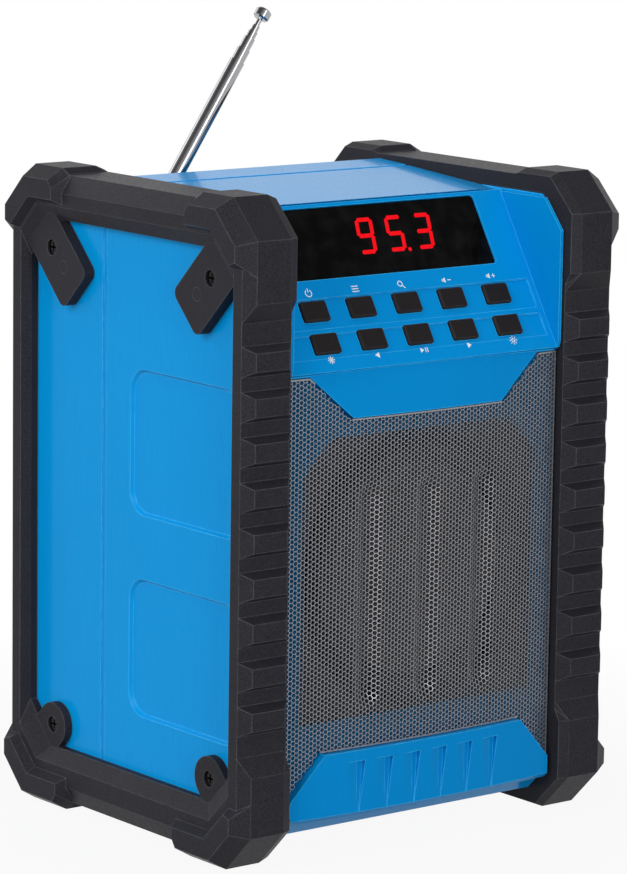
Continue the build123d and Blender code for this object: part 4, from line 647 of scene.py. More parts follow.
@dataclass(frozen=True)
class CellSleeve(Finish):
    """Shrunk plastic sleeve of a battery cell, with a coloured band near one end."""

    band: Colour = (0.75, 0.42, 0.05)
    band_pitch: float = 25 * MM
    crease_size: float = 1.6 * MM
    crease_depth: float = 0.02 * MM

    def lay(self, s: Surface) -> None:
        """Lays the band and the sleeve's shrinking creases.

        Args:
            s: the surface that it is laid on.
        """
        along = s.node("ShaderNodeSeparateXYZ", {0: s.space}).outputs["X"]
        wave = s.sum("SINE", s.sum("MULTIPLY", along, math.pi / self.band_pitch))
        crease = s.grain(self.crease_size, 3.0, (0.2, 1.0, 1.0))
        s.set(Base_Color=s.mixed(s.sum("GREATER_THAN", wave, 0.55), self.colour, self.band),
              Roughness=s.varied(crease, self.roughness, 0.8, 1.3))
        s.relief((crease, self.crease_depth))


@dataclass(frozen=True)
class DisplayGlow(Finish):
    """Lit display segment with a faintly uneven red, under the pane's gloss."""

    strength: float = 1.0

    def lay(self, s: Surface) -> None:
        """Lights the segment over a nearly black base.

        Args:
            s: the surface that it is laid on.
        """
        cloud = s.grain(1.3 * MM, 1.0)
        red, green, blue = self.colour
        s.set(Base_Color=(0.02, 0.0, 0.0), Emission_Strength=self.strength, Specular_IOR_Level=0.1,
              Emission_Color=s.blend(cloud, CLEAR_SPAN, self.colour, (red, green + 0.004, blue * 1.3)),
              Roughness=s.varied(cloud, self.roughness, 0.6, 0.8))


@dataclass(frozen=True)
class PrintedInk(Finish):
    """Screen-printed ink with a slightly uneven cover."""

    cover_size: float = 0.3 * MM
    cover_depth: float = 0.004 * MM

    def lay(self, s: Surface) -> None:
        """Lays the ink.

        Args:
            s: the surface that it is laid on.
        """
        cover = s.grain(self.cover_size, 2.0)
        s.set(Base_Color=s.blend(cover, CLEAR_SPAN, self.toned(0.9), self.colour),
              Roughness=s.varied(cover, self.roughness, 0.9, 1.1))
        s.relief((cover, self.cover_depth))


class Spare(Enum):
    """Finishes of pieces that only the dressing adds."""

    GLOW = "display_red"
    INK = "print_white"


# The box on the casing's front wall, behind the grille, in which shade is painted into the blue.
PAINTED_SHADE_BEHIND_GRILLE: Tuple[Point, Point] = (
    (-58.5 * MM, -64.0 * MM, 19.0 * MM), (58.5 * MM, -52.0 * MM, 176.0 * MM))

FINISHES: Tuple[Finish, ...] = (
    # On casing_blue and panel_blue the pale cyan edge colour is mostly painted highlight, and partly wear.
    Moulded("casing_blue", srgb(0, 148, 220), 0.3, worn_and_highlight=srgb(100, 205, 250), wear_and_highlight=0.8, grain_size=0.22 * MM,
            grain_depth=0.008 * MM, flow=0.012, gloss=0.03, lacquer=0.65, painted_shade=0.6, painted_shade_box=PAINTED_SHADE_BEHIND_GRILLE),
    Moulded("panel_blue", srgb(0, 134, 205), 0.3, worn_and_highlight=srgb(80, 200, 248), wear_and_highlight=0.8, edge_width=0.45 * MM,
            grain_size=0.2 * MM, grain_depth=0.008 * MM, flow=0.012, gloss=0.03, lacquer=0.3),
    Moulded("guard_rubber", srgb(34, 33, 38), 0.42, worn_and_highlight=srgb(112, 113, 120), wear_and_highlight=0.6,
            grain_size=0.3 * MM, grain_depth=0.03 * MM, dust=0.03, gloss=0.06),
    Plated("grille_steel", srgb(138, 140, 146), 0.34, stain=srgb(92, 92, 96), line_size=0.5 * MM,
           line_depth=0.004 * MM, metal=0.6),
    SmokedPane("window_black", (0.002, 0.002, 0.002), 0.05),
    Moulded("black_plastic", srgb(34, 33, 34), 0.5, worn_and_highlight=srgb(90, 88, 88), flow=0.06),
    Moulded("key_rubber", srgb(27, 24, 25), 0.4, worn_and_highlight=srgb(84, 80, 82), wear_and_highlight=0.7, edge_width=0.3 * MM,
            grain_size=0.18 * MM, grain_depth=0.012 * MM, gloss=0.08),
    Plated("screw_black", srgb(26, 25, 26), 0.2, stain=srgb(12, 12, 13), line_size=0.2 * MM, metal=0.9,
           rub_and_highlight=1.0),
    Plated("screw_steel", srgb(190, 190, 186), 0.3, stain=srgb(150, 146, 136), line_size=0.2 * MM),
    CircuitBoard("circuit_board", (0.012, 0.09, 0.03), 0.35),
    Moulded("ferrite", srgb(48, 47, 50), 0.6, worn_and_highlight=srgb(96, 94, 96), wear_and_highlight=0.35,
            grain_size=0.5 * MM, grain_depth=0.04 * MM, flow=0.12),
    Plated("nickel", srgb(206, 204, 196), 0.24, stain=srgb(170, 166, 152), line_size=0.3 * MM),
    PressedPaper("cone_paper", srgb(46, 42, 40), 0.85),
    Moulded("soft_rubber", srgb(30, 30, 31), 0.72, worn_and_highlight=srgb(78, 78, 80), wear_and_highlight=0.25,
            grain_size=0.35 * MM, grain_depth=0.03 * MM, flow=0.08),
    WoundWire("coil_copper", srgb(196, 108, 58), 0.3),
    CellSleeve("cell_wrap", srgb(38, 66, 52), 0.35),
    Plated("antenna_chrome", srgb(166, 165, 168), 0.1, stain=srgb(140, 140, 146), lines=(1.0, 1.0, 0.06),
           line_size=0.25 * MM, line_depth=0.001 * MM),
    DisplayGlow(Spare.GLOW.value, (1.0, 0.0, 0.008), strength=0.9),
    PrintedInk(Spare.INK.value, srgb(226, 232, 236)),
)


class PaintShop:
    """Makes every finish once and puts it on pieces and CAD nodes."""

    def __init__(self) -> None:
        """Builds all finishes."""
        self.coats: Dict[str, bpy.types.Material] = {finish.slot: finish.make() for finish in FINISHES}
        self.slots: Dict[str, str] = {
            part["node"]: part["material_slot"] for part in frame["record"]["subparts"]}

    def coat(self, piece: Piece, name: str) -> None:
        """Puts one finish all over a piece.

        Args:
            piece: the piece or CAD node.
            name: the finish's slot, or the value of a Spare.
        """
        piece.data.materials.clear()
        piece.data.materials.append(self.coats[name])

    def dress(self, nodes: Sequence[str]) -> None:
        """Gives CAD nodes the finish of their own slots."""
        for node in nodes:
            self.coat(frame["nodes"][node], self.slots[node])


# ---------------------------------------------------------------- sub-assemblies

@dataclass
class Assembly:
    """A sub-assembly: the CAD nodes it owns, the pieces it adds and the finish that these get."""

    nodes: Tuple[str, ...] = ()
    finish: str = ""
    made: List[Piece] = field(default_factory=list)

    def build(self) -> None:
        """Models the added pieces; a sub-assembly without any adds none."""

    def dress(self, shop: PaintShop) -> None:
        """Gives the CAD nodes and the added pieces their finishes.

        Args:
            shop: where the finishes are.
        """
        shop.dress(self.nodes)
        for piece in self.made:
            shop.coat(piece, self.finish)

    def keep(self, piece: Piece, body: str, slot: Optional[str] = None, replaced: Sequence[str] = ()) -> None:
        """Takes a finished piece into the sub-assembly.

        Args:
            piece: the piece, in place.
            body: the CAD body that it rides on.
            slot: the record's slot for the piece, if it has one there; not used.
            replaced: the CAD nodes that it stands for.
        """
        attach(piece, body)
        if replaced:
            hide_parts(*replaced)
        self.made.append(piece)


@dataclass
class Casing(Assembly):
    """The two casing halves, the gasket between them and the covers on their back."""

    nodes: Tuple[str, ...] = ("front_shell", "rear_shell", "shell_gasket", "shell_screws", "battery_door",
                              "cover_pins", "main_board", "board_screws")


@dataclass
class Guards(Assembly):
    """The two ribbed end guards with their screws and the moulding marks on their tabs."""

    nodes: Tuple[str, ...] = ("left_guard", "right_guard", "guard_screws")
    finish: str = "guard_rubber"
    tab_face: float = 77.8 * MM
    mark_y: float = 38.4 * MM
    mark_z: float = 191.6 * MM
    mark_radius: float = 2.45 * MM
    mark_line: float = 0.32 * MM
    mark_height: float = 0.14 * MM
    mark_steps: int = 36

    def build(self) -> None:
        """Raises a thin ring on each of the four upper tabs."""
        for side, end in ((-1, "left"), (1, "right")):
            for way, face in ((-1, "front"), (1, "rear")):
                ring = self.moulding_ring(f"{end}_{face}_tab_mark")
                turn = Matrix.Rotation(side * math.pi / 2, 4, "Y")
                spot = Matrix.Translation((side * self.tab_face, way * self.mark_y, self.mark_z))
                place(ring, spot @ turn)
                self.keep(ring, "casing", self.finish)

    def moulding_ring(self, name: str) -> Piece:
        """Models one ring flat on the ground.

        Args:
            name: the piece's name.

        Returns:
            The ring.
        """
        ring = disc(self.mark_steps, self.mark_radius, False)
        ring.name = name
        share = 1 - self.mark_line / 2 / self.mark_radius
        with edit(ring, "EDGE", whole=True):
            for rise in (self.mark_height, -self.mark_height):
                bpy.ops.mesh.extrude_edges_move(TRANSFORM_OT_translate={"value": (0, 0, rise)})
                bpy.ops.transform.resize(value=(share, share, 1))
        outward(ring)
        return ring


@dataclass
class PanelPlane:
    """The tilted plane of the control panel's face."""

    y: float = -52.8 * MM
    z: float = 184.63 * MM
    tilt: float = math.radians(31.8)

    def spot(self, x: float, up: float, depth: float = 0.0) -> Matrix:
        """Where a flat piece lies on the panel.

        Args:
            x: place to the right of the middle.
            up: place up the slope from the lower key row.
            depth: depth under the panel's face.

        Returns:
            The matrix that lays the ground's X and Y along the panel.
        """
        along = Vector((0, math.sin(self.tilt), math.cos(self.tilt)))
        inward = Vector((0, math.cos(self.tilt), -math.sin(self.tilt)))
        origin = Vector((x, self.y, self.z)) + along * up + inward * depth
        basis = Matrix((Vector((1, 0, 0)), along, -inward)).transposed().to_4x4()
        return Matrix.Translation(origin) @ basis


class Segment(Enum):
    """The strokes that the digits light: middle across, middle up, and whether it stands."""

    TOP = (0.5, 1.0, False)
    MIDDLE = (0.5, 0.5, False)
    BOTTOM = (0.5, 0.0, False)
    UPPER_LEFT = (0.0, 0.75, True)
    UPPER_RIGHT = (1.0, 0.75, True)
    LOWER_RIGHT = (1.0, 0.25, True)


ACROSS: Tuple[Segment, ...] = (Segment.TOP, Segment.MIDDLE, Segment.BOTTOM)
DIGITS: Dict[str, Tuple[Segment, ...]] = {
    "9": (*ACROSS, Segment.UPPER_LEFT, Segment.UPPER_RIGHT, Segment.LOWER_RIGHT),
    "5": (*ACROSS, Segment.UPPER_LEFT, Segment.LOWER_RIGHT),
    "3": (*ACROSS, Segment.UPPER_RIGHT, Segment.LOWER_RIGHT),
}


@dataclass
class Display(Assembly):
    """The smoked pane, the unit behind it and the lit digits."""

    nodes: Tuple[str, ...] = ("display_window", "display_module")
    finish: str = Spare.GLOW.value
    panel: PanelPlane = field(default_factory=PanelPlane)
    reading: Tuple[Tuple[str, float], ...] = (("9", -11.8 * MM), ("5", 1.0 * MM), ("3", 13.5 * MM))
    digit_width: float = 7.4 * MM
    digit_bottom: float = 19.1 * MM
    digit_top: float = 32.5 * MM
    stroke: float = 1.5 * MM
    stroke_gap: float = 0.3 * MM
    slant: float = math.radians(10)
    film: float = 0.05 * MM
    pane_depth: float = 0.7 * MM
    point: Spot = (9.8 * MM, 19.5 * MM)
    point_radius: float = 0.75 * MM
    point_corners: int = 10

    def build(self) -> None:
        """Lays the digits and the point on the pane."""
        for number, (digit, left) in enumerate(self.reading, 1):
            self.digit(f"display_digit_{number}", DIGITS[digit], left)
        self.lay(disc(self.point_corners, self.point_radius), "display_point", *self.point)

    def digit(self, name: str, strokes: Sequence[Segment], left: float) -> None:
        """Models one lit digit.

        Args:
            name: the piece's name.
            strokes: the segments that are lit.
            left: the digit's left edge.
        """
        wide = self.digit_width - self.stroke
        tall = self.digit_top - self.digit_bottom - self.stroke
        parts = []
        for stroke in strokes:
            across, up, stands = stroke.value
            bar = self.bar((tall / 2 if stands else wide) - self.stroke_gap)
            turn = Matrix.Rotation(math.pi / 2, 4, "Z") if stands else Matrix.Identity(4)
            middle = (across * wide + self.stroke / 2, up * tall + self.stroke / 2, 0)
            place(bar, Matrix.Translation(middle) @ turn)
            parts.append(bar)
        digit = joined(parts, name)
        lean = Matrix.Identity(4)
        lean[0][1] = math.tan(self.slant)
        digit.data.transform(lean)
        self.lay(digit, name, left, self.digit_bottom)

    def bar(self, length: float) -> Piece:
        """Models one pointed stroke: a six-sided disc pulled out to its length.

        Args:
            length: the stroke's length from point to point.

        Returns:
            The flat stroke, along X.
        """
        bar = disc(HEXAGON, self.stroke / math.sqrt(3), rotation=(0, 0, math.pi / 6))
        settle(bar)
        stretch = (length - self.stroke) / 2
        for side in (-1, 1):
            with edit(bar):
                pick(bar, lambda at, side=side: at.x * side > HAIR)
                bpy.ops.transform.translate(value=(side * stretch, 0, 0))
        return bar

    def lay(self, piece: Piece, name: str, x: float, up: float) -> None:
        """Gives a flat piece its thickness and lays it on the pane.

        Args:
            piece: the flat piece.
            name: its name.
            x: place to the right of the middle.
            up: place up the slope from the lower key row.
        """
        piece.name = name
        apply_modifier(piece, "SOLIDIFY", thickness=self.film, offset=1.0)
        place(piece, self.panel.spot(x, up, self.pane_depth))
        self.keep(piece, "casing")


@dataclass
class KeyMarks(Assembly):
    """The generic marks that are printed above the upper keys and below the lower ones."""

    finish: str = Spare.INK.value
    panel: PanelPlane = field(default_factory=PanelPlane)
    pitch: float = 19.85 * MM
    upper: float = 6.7 * MM
    lower: float = -17.7 * MM
    film: float = 0.03 * MM
    line: float = 0.34 * MM
    full_line: float = 2.9 * MM
    ring_corners: int = 32
    power_radius: float = 1.45 * MM
    power_gap: float = math.radians(38)
    power_stroke: float = 1.05 * MM
    sign: float = 1.5 * MM
    sign_x: float = 1.35 * MM
    ray: float = 0.6 * MM
    ray_width: float = 0.32 * MM
    ray_spot: float = 1.35 * MM

    def build(self) -> None:
        """Prints the ten marks."""
        rows: Dict[float, Tuple[Tuple[str, Callable[[], List[Piece]]], ...]] = {
            self.upper: (("power", self.power), ("mode", self.mode), ("scan", self.scan),
                         ("volume_down", self.loudspeaker), ("volume_up", self.louder)),
            self.lower: (("preset", self.preset), ("previous", partial(self.skip, -1)), ("play", self.play),
                         ("next", partial(self.skip, 1)), ("dimmer", self.dimmer)),
        }
        for up, row in rows.items():
            for column, (name, draw) in enumerate(row, -(len(row) // 2)):
                mark = joined(draw(), f"{name}_mark")
                apply_modifier(mark, "SOLIDIFY", thickness=self.film, offset=1.0)
                place(mark, self.panel.spot(column * self.pitch, up))
                self.keep(mark, "casing")

    def bar(self, x: float, y: float, length: float, height: float, turn: float = 0.0) -> Piece:
        """A bar with softened corners.

        Args:
            x: place across of its middle.
            y: place up of its middle.
            length: size along it.
            height: size across it.
            turn: angle that it is turned by.

        Returns:
            The flat bar.
        """
        bpy.ops.mesh.primitive_plane_add(size=1)
        bar = bpy.context.active_object
        bar.scale = (length, height, 1)
        settle(bar)
        with edit(bar, whole=True):
            bpy.ops.mesh.bevel(offset=min(length, height) * 0.3, segments=2, affect="VERTICES")
        place(bar, Matrix.Translation((x, y, 0)) @ Matrix.Rotation(turn, 4, "Z"))
        return bar

    def arrow(self, x: float, size: float, way: int) -> Piece:
        """A solid arrow head.

        Args:
            x: place across of its middle.
            size: distance from its middle to a corner.
            way: 1 to point right, -1 to point left.

        Returns:
            The flat arrow head.
        """
        head = disc(TRIANGLE, size)
        with edit(head, whole=True):
            bpy.ops.mesh.bevel(offset=size * 0.12, segments=1, affect="VERTICES")
        place(head, Matrix.Translation((x, 0, 0)) @ Matrix.Rotation(-way * math.pi / 2, 4, "Z"))
        return head

    def ring(self, x: float, y: float, radius: float, gap: float = 0.0) -> Piece:
        """A ring line, open at its top by an angle.

        Args:
            x: place across of its middle.
            y: place up of its middle.
            radius: outer radius.
            gap: half the angle that is left open.

        Returns:
            The flat ring.
        """
        ring = disc(self.ring_corners, radius, False)
        inner = 1 - self.line / radius
        with edit(ring, "EDGE", whole=True):
            bpy.ops.mesh.extrude_edges_move(TRANSFORM_OT_translate={"value": (0, 0, 0)})
            bpy.ops.transform.resize(value=(inner, inner, 1))
        if gap > 0:
            with edit(ring, "FACE"):
                pick(ring, lambda at: at.y > 0 and abs(math.atan2(at.x, at.y)) < gap, "FACE")
                bpy.ops.mesh.delete(type="FACE")
        place(ring, Matrix.Translation((x, y, 0)))
        outward(ring, (0, 0, 1))
        return ring

    def power(self) -> List[Piece]:
        """A ring open at its top with a short stroke."""
        return [self.ring(0, 0, self.power_radius, self.power_gap),
                self.bar(0, self.power_stroke, self.line, self.sign)]

    def mode(self) -> List[Piece]:
        """Three stacked lines."""
        return [self.bar(0, step * 0.95 * MM, self.full_line, self.line) for step in (-1, 0, 1)]

    def scan(self) -> List[Piece]:
        """A magnifier."""
        return [self.ring(-0.3 * MM, 0.3 * MM, 1.1 * MM),
                self.bar(0.95 * MM, -0.95 * MM, 1.3 * MM, self.line, -math.pi / 4)]

    def loudspeaker(self) -> List[Piece]:
        """A small loudspeaker with a minus."""
        return [self.bar(-1.5 * MM, 0, 0.7 * MM, 1.0 * MM), self.arrow(-0.9 * MM, 1.15 * MM, -1),
                self.bar(self.sign_x, 0, self.sign, self.line)]

    def louder(self) -> List[Piece]:
        """The same loudspeaker with a plus."""
        return self.loudspeaker() + [self.bar(self.sign_x, 0, self.line, self.sign)]

    def preset(self) -> List[Piece]:
        """Four crossed lines that read as a star."""
        return [self.bar(0, 0, self.full_line, self.line, math.pi * step / 4) for step in range(4)]

    def skip(self, way: int) -> List[Piece]:
        """An arrow head that points left (-1) or right (1)."""
        return [self.arrow(0.0, 1.2 * MM, way)]

    def play(self) -> List[Piece]:
        """An arrow head and two standing lines."""
        return [self.arrow(-0.9 * MM, 1.05 * MM, 1), self.bar(0.75 * MM, 0, self.line, 1.8 * MM),
                self.bar(1.6 * MM, 0, self.line, 1.8 * MM)]

    def dimmer(self) -> List[Piece]:
        """A sun with eight rays."""
        drawn = [self.ring(0, 0, 0.75 * MM)]
        for step in range(8):
            angle = math.pi * step / 4
            drawn.append(self.bar(self.ray_spot * math.cos(angle), self.ray_spot * math.sin(angle),
                                  self.ray, self.ray_width, angle))
        return drawn


@dataclass
class ControlPanel(Assembly):
    """The control fascia with its keys and the board behind them."""

    nodes: Tuple[str, ...] = (
        "control_fascia", "power_key", "mode_key", "scan_key", "volume_down_key", "volume_up_key",
        "preset_key", "previous_key", "play_key", "next_key", "dimmer_key", "key_switches",
        "control_board", "fascia_screws", "lower_fascia")


@dataclass
class Grille(Assembly):
    """The speaker's punched steel sheet, pressed onto the CAD grille's own face."""

    nodes: Tuple[str, ...] = ("speaker_grille",)
    finish: str = "grille_steel"
    hole_pitch: float = 1.66 * MM
    hole: float = 1.44 * MM
    sheet: float = 0.8 * MM
    rim: float = 0.5 * MM
    rim_lift: float = 0.02 * MM
    rim_hold: float = 0.02 * MM
    rim_step: float = 8 * MM
    margin: float = 0.1 * MM
    start_y: float = -75.0 * MM
    flange: float = 3.2 * MM
    half_width: float = 58.6 * MM
    bottom: float = 18.0 * MM
    top: float = 164.5 * MM
    foot_half: float = 57.5 * MM
    foot_shoulder: float = 21.6 * MM
    foot_top_half: float = 43.5 * MM
    foot_top: float = 36.6 * MM
    apron_half: float = 32.6 * MM
    apron_bottom: float = 149.5 * MM
    apron_top_half: float = 49.9 * MM

    def outline(self) -> List[Spot]:
        """Gives the sheet's outline.

        Returns:
            Its corners as points across and up, the right half first.
        """
        right = [(self.foot_top_half, self.foot_top), (self.foot_half, self.foot_shoulder),
                 (self.foot_half, self.bottom), (self.half_width, self.bottom), (self.half_width, self.top),
                 (self.apron_top_half, self.top), (self.apron_half, self.apron_bottom)]
        left = [(-x, z) for x, z in reversed(right)]
        return right + left

    def sides(self) -> Iterator[Tuple[Vector, Vector]]:
        """Each side of the outline: where it starts and how it runs."""
        corners = self.outline()
        for a, b in zip(corners, corners[1:] + corners[:1]):
            yield Vector(a), Vector(b) - Vector(a)

    def inside(self, x: float, z: float) -> bool:
        """Whether a place lies within the outline.

        Args:
            x: place across.
            z: place up.

        Returns:
            True within it.
        """
        corners = self.outline()
        crossed = False
        for (ax, az), (bx, bz) in zip(corners, corners[1:] + corners[:1]):
            if (az > z) != (bz > z) and x < ax + (z - az) * (bx - ax) / (bz - az):
                crossed = not crossed
        return crossed

    def distance(self, x: float, z: float) -> float:
        """How far a place is from the outline.

        Args:
            x: place across.
            z: place up.

        Returns:
            The distance to the nearest side.
        """
        here = Vector((x, z))
        nearest = math.inf
        for start, run in self.sides():
            share = max(0.0, min(1.0, (here - start).dot(run) / run.length_squared))
            nearest = min(nearest, (here - start - run * share).length)
        return nearest

    def build(self) -> None:
        """Punches the sheet, adds its plain rim and halves it so that each mesh stays light."""
        sheet = self.punched_sheet()
        self.trim(sheet)
        self.press(sheet)
        right = duplicate(sheet, "grille_sheet_right")
        sheet.name = "grille_sheet_left"
        for half, side in ((sheet, 1), (right, -1)):
            with edit(half, "FACE"):
                pick(half, lambda at, side=side: at.x * side > 0, "FACE")
                bpy.ops.mesh.delete(type="FACE")
        rim = self.plain_rim()
        for piece in (sheet, right, rim):
            apply_modifier(piece, "SOLIDIFY", thickness=self.sheet, offset=-1.0)
            self.keep(piece, "casing", self.finish, self.nodes)

    def punched_sheet(self) -> Piece:
        """Punches the hole pattern over the sheet's whole height and width.

        Returns:
            The flat sheet in front of the grille.
        """
        column = self.hole_pitch * math.sqrt(3) / 2
        rows = math.ceil((self.top - self.bottom) / self.hole_pitch) + 2
        pairs = math.ceil(self.half_width / column / 2) * 2 + 1
        cells = []
        for number in (0, 1):
            start = (-(pairs // 2) * 2 * column + number * column, self.start_y,
                     self.bottom + number * self.hole_pitch / 2)
            cell = disc(HEXAGON, self.hole_pitch / math.sqrt(3), location=start,
                        rotation=(math.pi / 2, math.pi / 6, 0))
            settle(cell)
            with edit(cell, "FACE", whole=True):
                bpy.ops.mesh.inset(thickness=(self.hole_pitch - self.hole) / 2)
                bpy.ops.mesh.delete(type="FACE")
            cells.append(cell)
        sheet = joined(cells, "grille_sheet")
        for count, step in ((rows, (0, 0, self.hole_pitch)), (pairs, (2 * column, 0, 0))):
            apply_modifier(sheet, "ARRAY", count=count, use_relative_offset=False, use_constant_offset=True,
                           constant_offset_displace=step)
        with edit(sheet, whole=True):
            bpy.ops.mesh.remove_doubles(threshold=HAIR)
        return sheet

    def trim(self, sheet: Piece) -> None:
        """Cuts the sheet along its outline.

        Args:
            sheet: the flat punched sheet.
        """
        reach = self.hole_pitch
        with edit(sheet, "FACE"):
            pick(sheet, lambda at: not self.inside(at.x, at.z) and self.distance(at.x, at.z) > reach, "FACE")
            bpy.ops.mesh.delete(type="FACE")
            for start, run in self.sides():
                along = run.normalized()
                out = Vector((along.y, -along.x))
                if pick(sheet, partial(self.beside, start, along, out, run.length), "FACE"):
                    bpy.ops.mesh.bisect(plane_co=(start.x, self.start_y, start.y), plane_no=(out.x, 0, out.y),
                                        clear_outer=True)
            pick(sheet, lambda at: not self.inside(at.x, at.z), "FACE")
            bpy.ops.mesh.delete(type="FACE")

    def beside(self, start: Vector, along: Vector, out: Vector, length: float, at: Vector) -> bool:
        """Whether a face lies along one side of the outline.

        Args:
            start: where the side starts.
            along: the side's direction.
            out: the direction out of the sheet.
            length: the side's length.
            at: the face's middle.

        Returns:
            True within a hole's pitch of the side, and a little past its ends.
        """
        reach = self.hole_pitch
        step = Vector((at.x, at.z)) - start
        return abs(step.dot(out)) < reach and -0.2 * reach < step.dot(along) < length + 0.2 * reach

    def press(self, sheet: Piece) -> None:
        """Presses a flat sheet onto the CAD grille's face, crown and grooves alike.

        Args:
            sheet: the flat sheet in front of the grille.
        """
        apply_modifier(sheet, "SHRINKWRAP", target=frame["nodes"][self.nodes[0]], wrap_method="PROJECT",
                       use_project_x=False, use_project_y=True, use_project_z=False,
                       use_positive_direction=True, use_negative_direction=False)
        with edit(sheet):
            pick(sheet, lambda at: at.y < self.start_y + self.margin)
            bpy.ops.mesh.delete(type="VERT")

    def plain_rim(self) -> Piece:
        """Models the unpunched rim with the flanges that turn back at its two ends.

        Returns:
            The rim, still without thickness.
        """
        corners = self.outline()
        rim = disc(len(corners), self.half_width)
        rim.name = "grille_rim"
        for vert, (x, z) in zip(rim.data.vertices, corners):
            vert.co = (x, self.start_y, z)
        cuts = int(self.half_width // self.rim_step)
        with edit(rim, "FACE", whole=True):
            bpy.ops.mesh.inset(thickness=self.rim)
            bpy.ops.mesh.delete(type="FACE")
            for number in range(-cuts, cuts + 1):
                bpy.ops.mesh.select_all(action="SELECT")
                bpy.ops.mesh.bisect(plane_co=(number * self.rim_step, 0, 0), plane_no=(1, 0, 0))
        wide = self.half_width - self.rim_hold
        for vert in rim.data.vertices:
            vert.co.x = max(-wide, min(wide, vert.co.x))
            vert.co.z = max(self.bottom + self.rim_hold, min(self.top - self.rim_hold, vert.co.z))
        self.press(rim)
        outward(rim, (0, -1, 0))
        with edit(rim, whole=True):
            bpy.ops.transform.translate(value=(0, -self.rim_lift, 0))
        with edit(rim, "EDGE"):
            pick(rim, lambda at: abs(at.x) > self.half_width - self.margin, "EDGE")
            bpy.ops.mesh.extrude_edges_move(TRANSFORM_OT_translate={"value": (0, self.flange, 0)})
        return rim


@dataclass
class Loudspeaker(Assembly):
    """The driver behind the grille, with its baffle."""

    nodes: Tuple[str, ...] = (
        "speaker_baffle", "speaker_basket", "speaker_top_plate", "speaker_magnet", "speaker_yoke",
        "speaker_spider", "speaker_cone", "speaker_surround", "voice_coil", "dust_cap", "speaker_screws")


@dataclass
class PowerAndPorts(Assembly):
    """The battery bay and the sockets on the back."""

    nodes: Tuple[str, ...] = ("battery_tray", "battery_cells", "battery_contacts", "port_plate", "dc_inlet",
                              "aux_jack", "aux_nut", "usb_port", "port_cover")


@dataclass
class Antenna(Assembly):
    """The folding telescopic antenna."""

    nodes: Tuple[str, ...] = (
        "antenna_turret", "antenna_retainer", "antenna_pin", "antenna_knuckle",
        *(f"antenna_tube_{number}" for number in range(1, 6)), "antenna_rod", "antenna_tip")


# ---------------------------------------------------------------- studio

@dataclass
class Lamp:
    """One square soft light that looks at the radio."""

    name: str
    spot: Point
    size: float
    power: float

    def light(self, target: Vector) -> None:
        """Hangs the lamp and turns it to its target.

        Args:
            target: the place that it looks at.
        """
        data = bpy.data.lights.new(self.name, "AREA")
        data.shape = "SQUARE"
        data.size = self.size
        data.energy = self.power
        lamp = bpy.data.objects.new(self.name, data)
        bpy.context.scene.collection.objects.link(lamp)
        lamp.location = self.spot
        lamp.rotation_mode = "QUATERNION"
        lamp.rotation_quaternion = (target - Vector(self.spot)).to_track_quat("-Z", "Y")


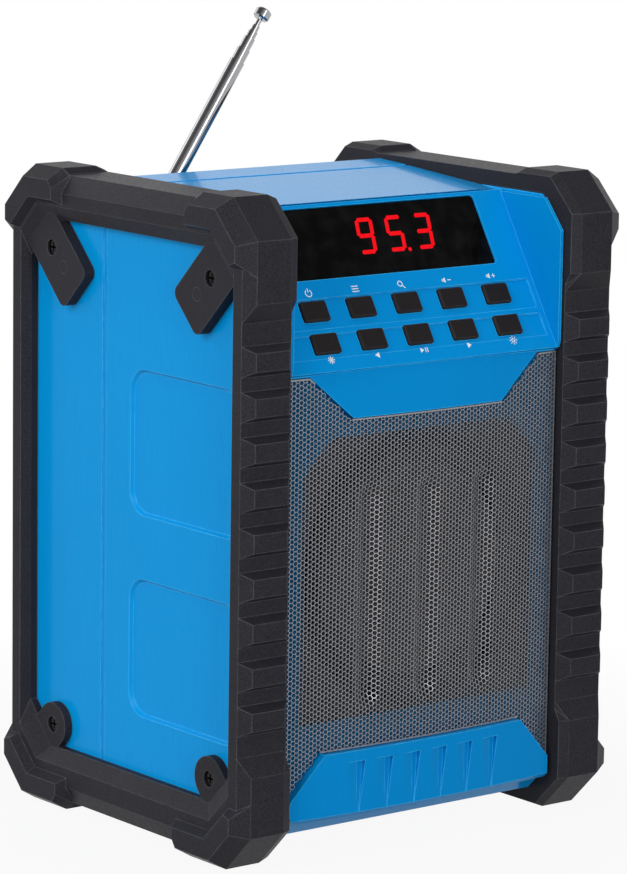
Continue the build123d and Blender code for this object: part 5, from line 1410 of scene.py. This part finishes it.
@dataclass
class Studio:
    """Pale floor, soft lamps, white surroundings and the camera."""

    target: Point = (0.0, 0.0, 0.1)
    lamps: Tuple[Lamp, ...] = (
        Lamp("key_lamp", (-1.8, -0.4, 0.9), 1.3, 25.0),
        Lamp("front_lamp", (-0.35, -1.95, 0.5), 1.1, 22.0),
        Lamp("top_lamp", (0.0, 0.25, 1.9), 1.5, 11.0),
        Lamp("back_lamp", (-0.9, 1.9, 0.9), 1.3, 9.0),
    )
    ambient: float = 0.22
    ceiling: float = 0.12
    ceiling_start: float = 0.4
    ceiling_full: float = 0.75
    floor_radius: float = 4.0
    floor_share: float = 0.93
    floor_corners: int = 64
    floor_fade: Spot = (0.12, 0.3)
    floor_greys: Tuple[Colour, Colour] = ((0.28, 0.28, 0.28), (0.32, 0.32, 0.32))
    floor_mottle: float = 4 * MM
    camera_spot: Point = (-0.88673, -1.12726, 0.38635)
    camera_right: Point = (0.78676, -0.61708, 0.01471)
    camera_up: Point = (0.09698, 0.14711, 0.98435)
    camera_back: Point = (-0.60959, -0.77302, 0.17558)
    lens: float = 171.49
    sensor: float = 36.0
    clip: Spot = (0.05, 20.0)

    def build(self) -> None:
        """Sets up camera, lamps, floor and surroundings."""
        self.set_camera()
        for lamp in self.lamps:
            lamp.light(Vector(self.target))
        self.lay_floor()
        self.surround()
        bpy.context.scene.view_settings.view_transform = "Standard"

    def set_camera(self) -> None:
        """Places the camera."""
        data = bpy.data.cameras.new("studio_camera")
        data.lens = self.lens
        data.sensor_width = self.sensor
        data.clip_start, data.clip_end = self.clip
        camera = bpy.data.objects.new("studio_camera", data)
        bpy.context.scene.collection.objects.link(camera)
        turn = Matrix((self.camera_right, self.camera_up, self.camera_back)).transposed()
        camera.matrix_world = Matrix.Translation(self.camera_spot) @ turn.normalized().to_4x4()
        bpy.context.scene.camera = camera

    def surround(self) -> None:
        """Surrounds the radio with white that turns grey towards the ceiling."""
        world = bpy.data.worlds.new("studio_white")
        bpy.context.scene.world = world
        world.use_nodes = True
        sky = Wiring(world.node_tree)
        ray = sky.node("ShaderNodeTexCoord").outputs["Generated"]
        height = sky.node("ShaderNodeSeparateXYZ", {0: ray}).outputs["Z"]
        shown = sky.spread(height, self.ceiling_start, self.ceiling_full, 1.0, self.ceiling)
        strength = sky.node("ShaderNodeMix", {0: sky.seen(), 2: self.ambient, 3: shown}, data_type="FLOAT")
        background = sky.find("BACKGROUND")
        sky.feed(background.inputs["Color"], WHITE)
        sky.feed(background.inputs["Strength"], strength.outputs[0])

    def lay_floor(self) -> None:
        """Lays a round pale floor that fades into the white surroundings."""
        bpy.ops.object.select_all(action="DESELECT")
        floor = disc(self.floor_corners, self.floor_radius)
        floor.name = "studio_floor"
        with edit(floor, "FACE", whole=True):
            bpy.ops.mesh.inset(thickness=self.floor_radius / 2)
        s = Surface("studio_paper")
        s.set(Base_Color=s.blend(s.grain(self.floor_mottle, 2.0), SOFT_SPAN, *self.floor_greys),
              Roughness=0.9, Specular_IOR_Level=0.1)
        radius = s.node("ShaderNodeVectorMath", {0: s.space}, operation="LENGTH").outputs["Value"]
        fade = s.spread(radius, *self.floor_fade, self.floor_share, 1.0)
        share = s.sum("MULTIPLY", fade, s.seen())
        white = s.node("ShaderNodeEmission", {"Color": WHITE, "Strength": 1.0}).outputs[0]
        both = s.node("ShaderNodeMixShader", {0: share, 1: s.shader.outputs[0], 2: white}).outputs[0]
        s.feed(s.output.inputs["Surface"], both)
        floor.data.materials.append(s.material)


def main() -> None:
    """Builds and dresses the sub-assemblies in order and reports each piece."""
    logging.basicConfig(level=logging.INFO, format="%(name)s: %(message)s")
    Studio().build()
    shop = PaintShop()
    assemblies: Tuple[Assembly, ...] = (
        Casing(), Guards(), ControlPanel(), Display(), KeyMarks(), Grille(), Loudspeaker(),
        PowerAndPorts(), Antenna())
    for assembly in assemblies:
        assembly.build()
        assembly.dress(shop)
        for piece in assembly.made:
            log.info("%s: added %s, %d faces", type(assembly).__name__, piece.name, len(piece.data.polygons))
        for node in assembly.nodes:
            log.info("%s: dressed %s", type(assembly).__name__, node)


if __name__ == "__main__":
    main()
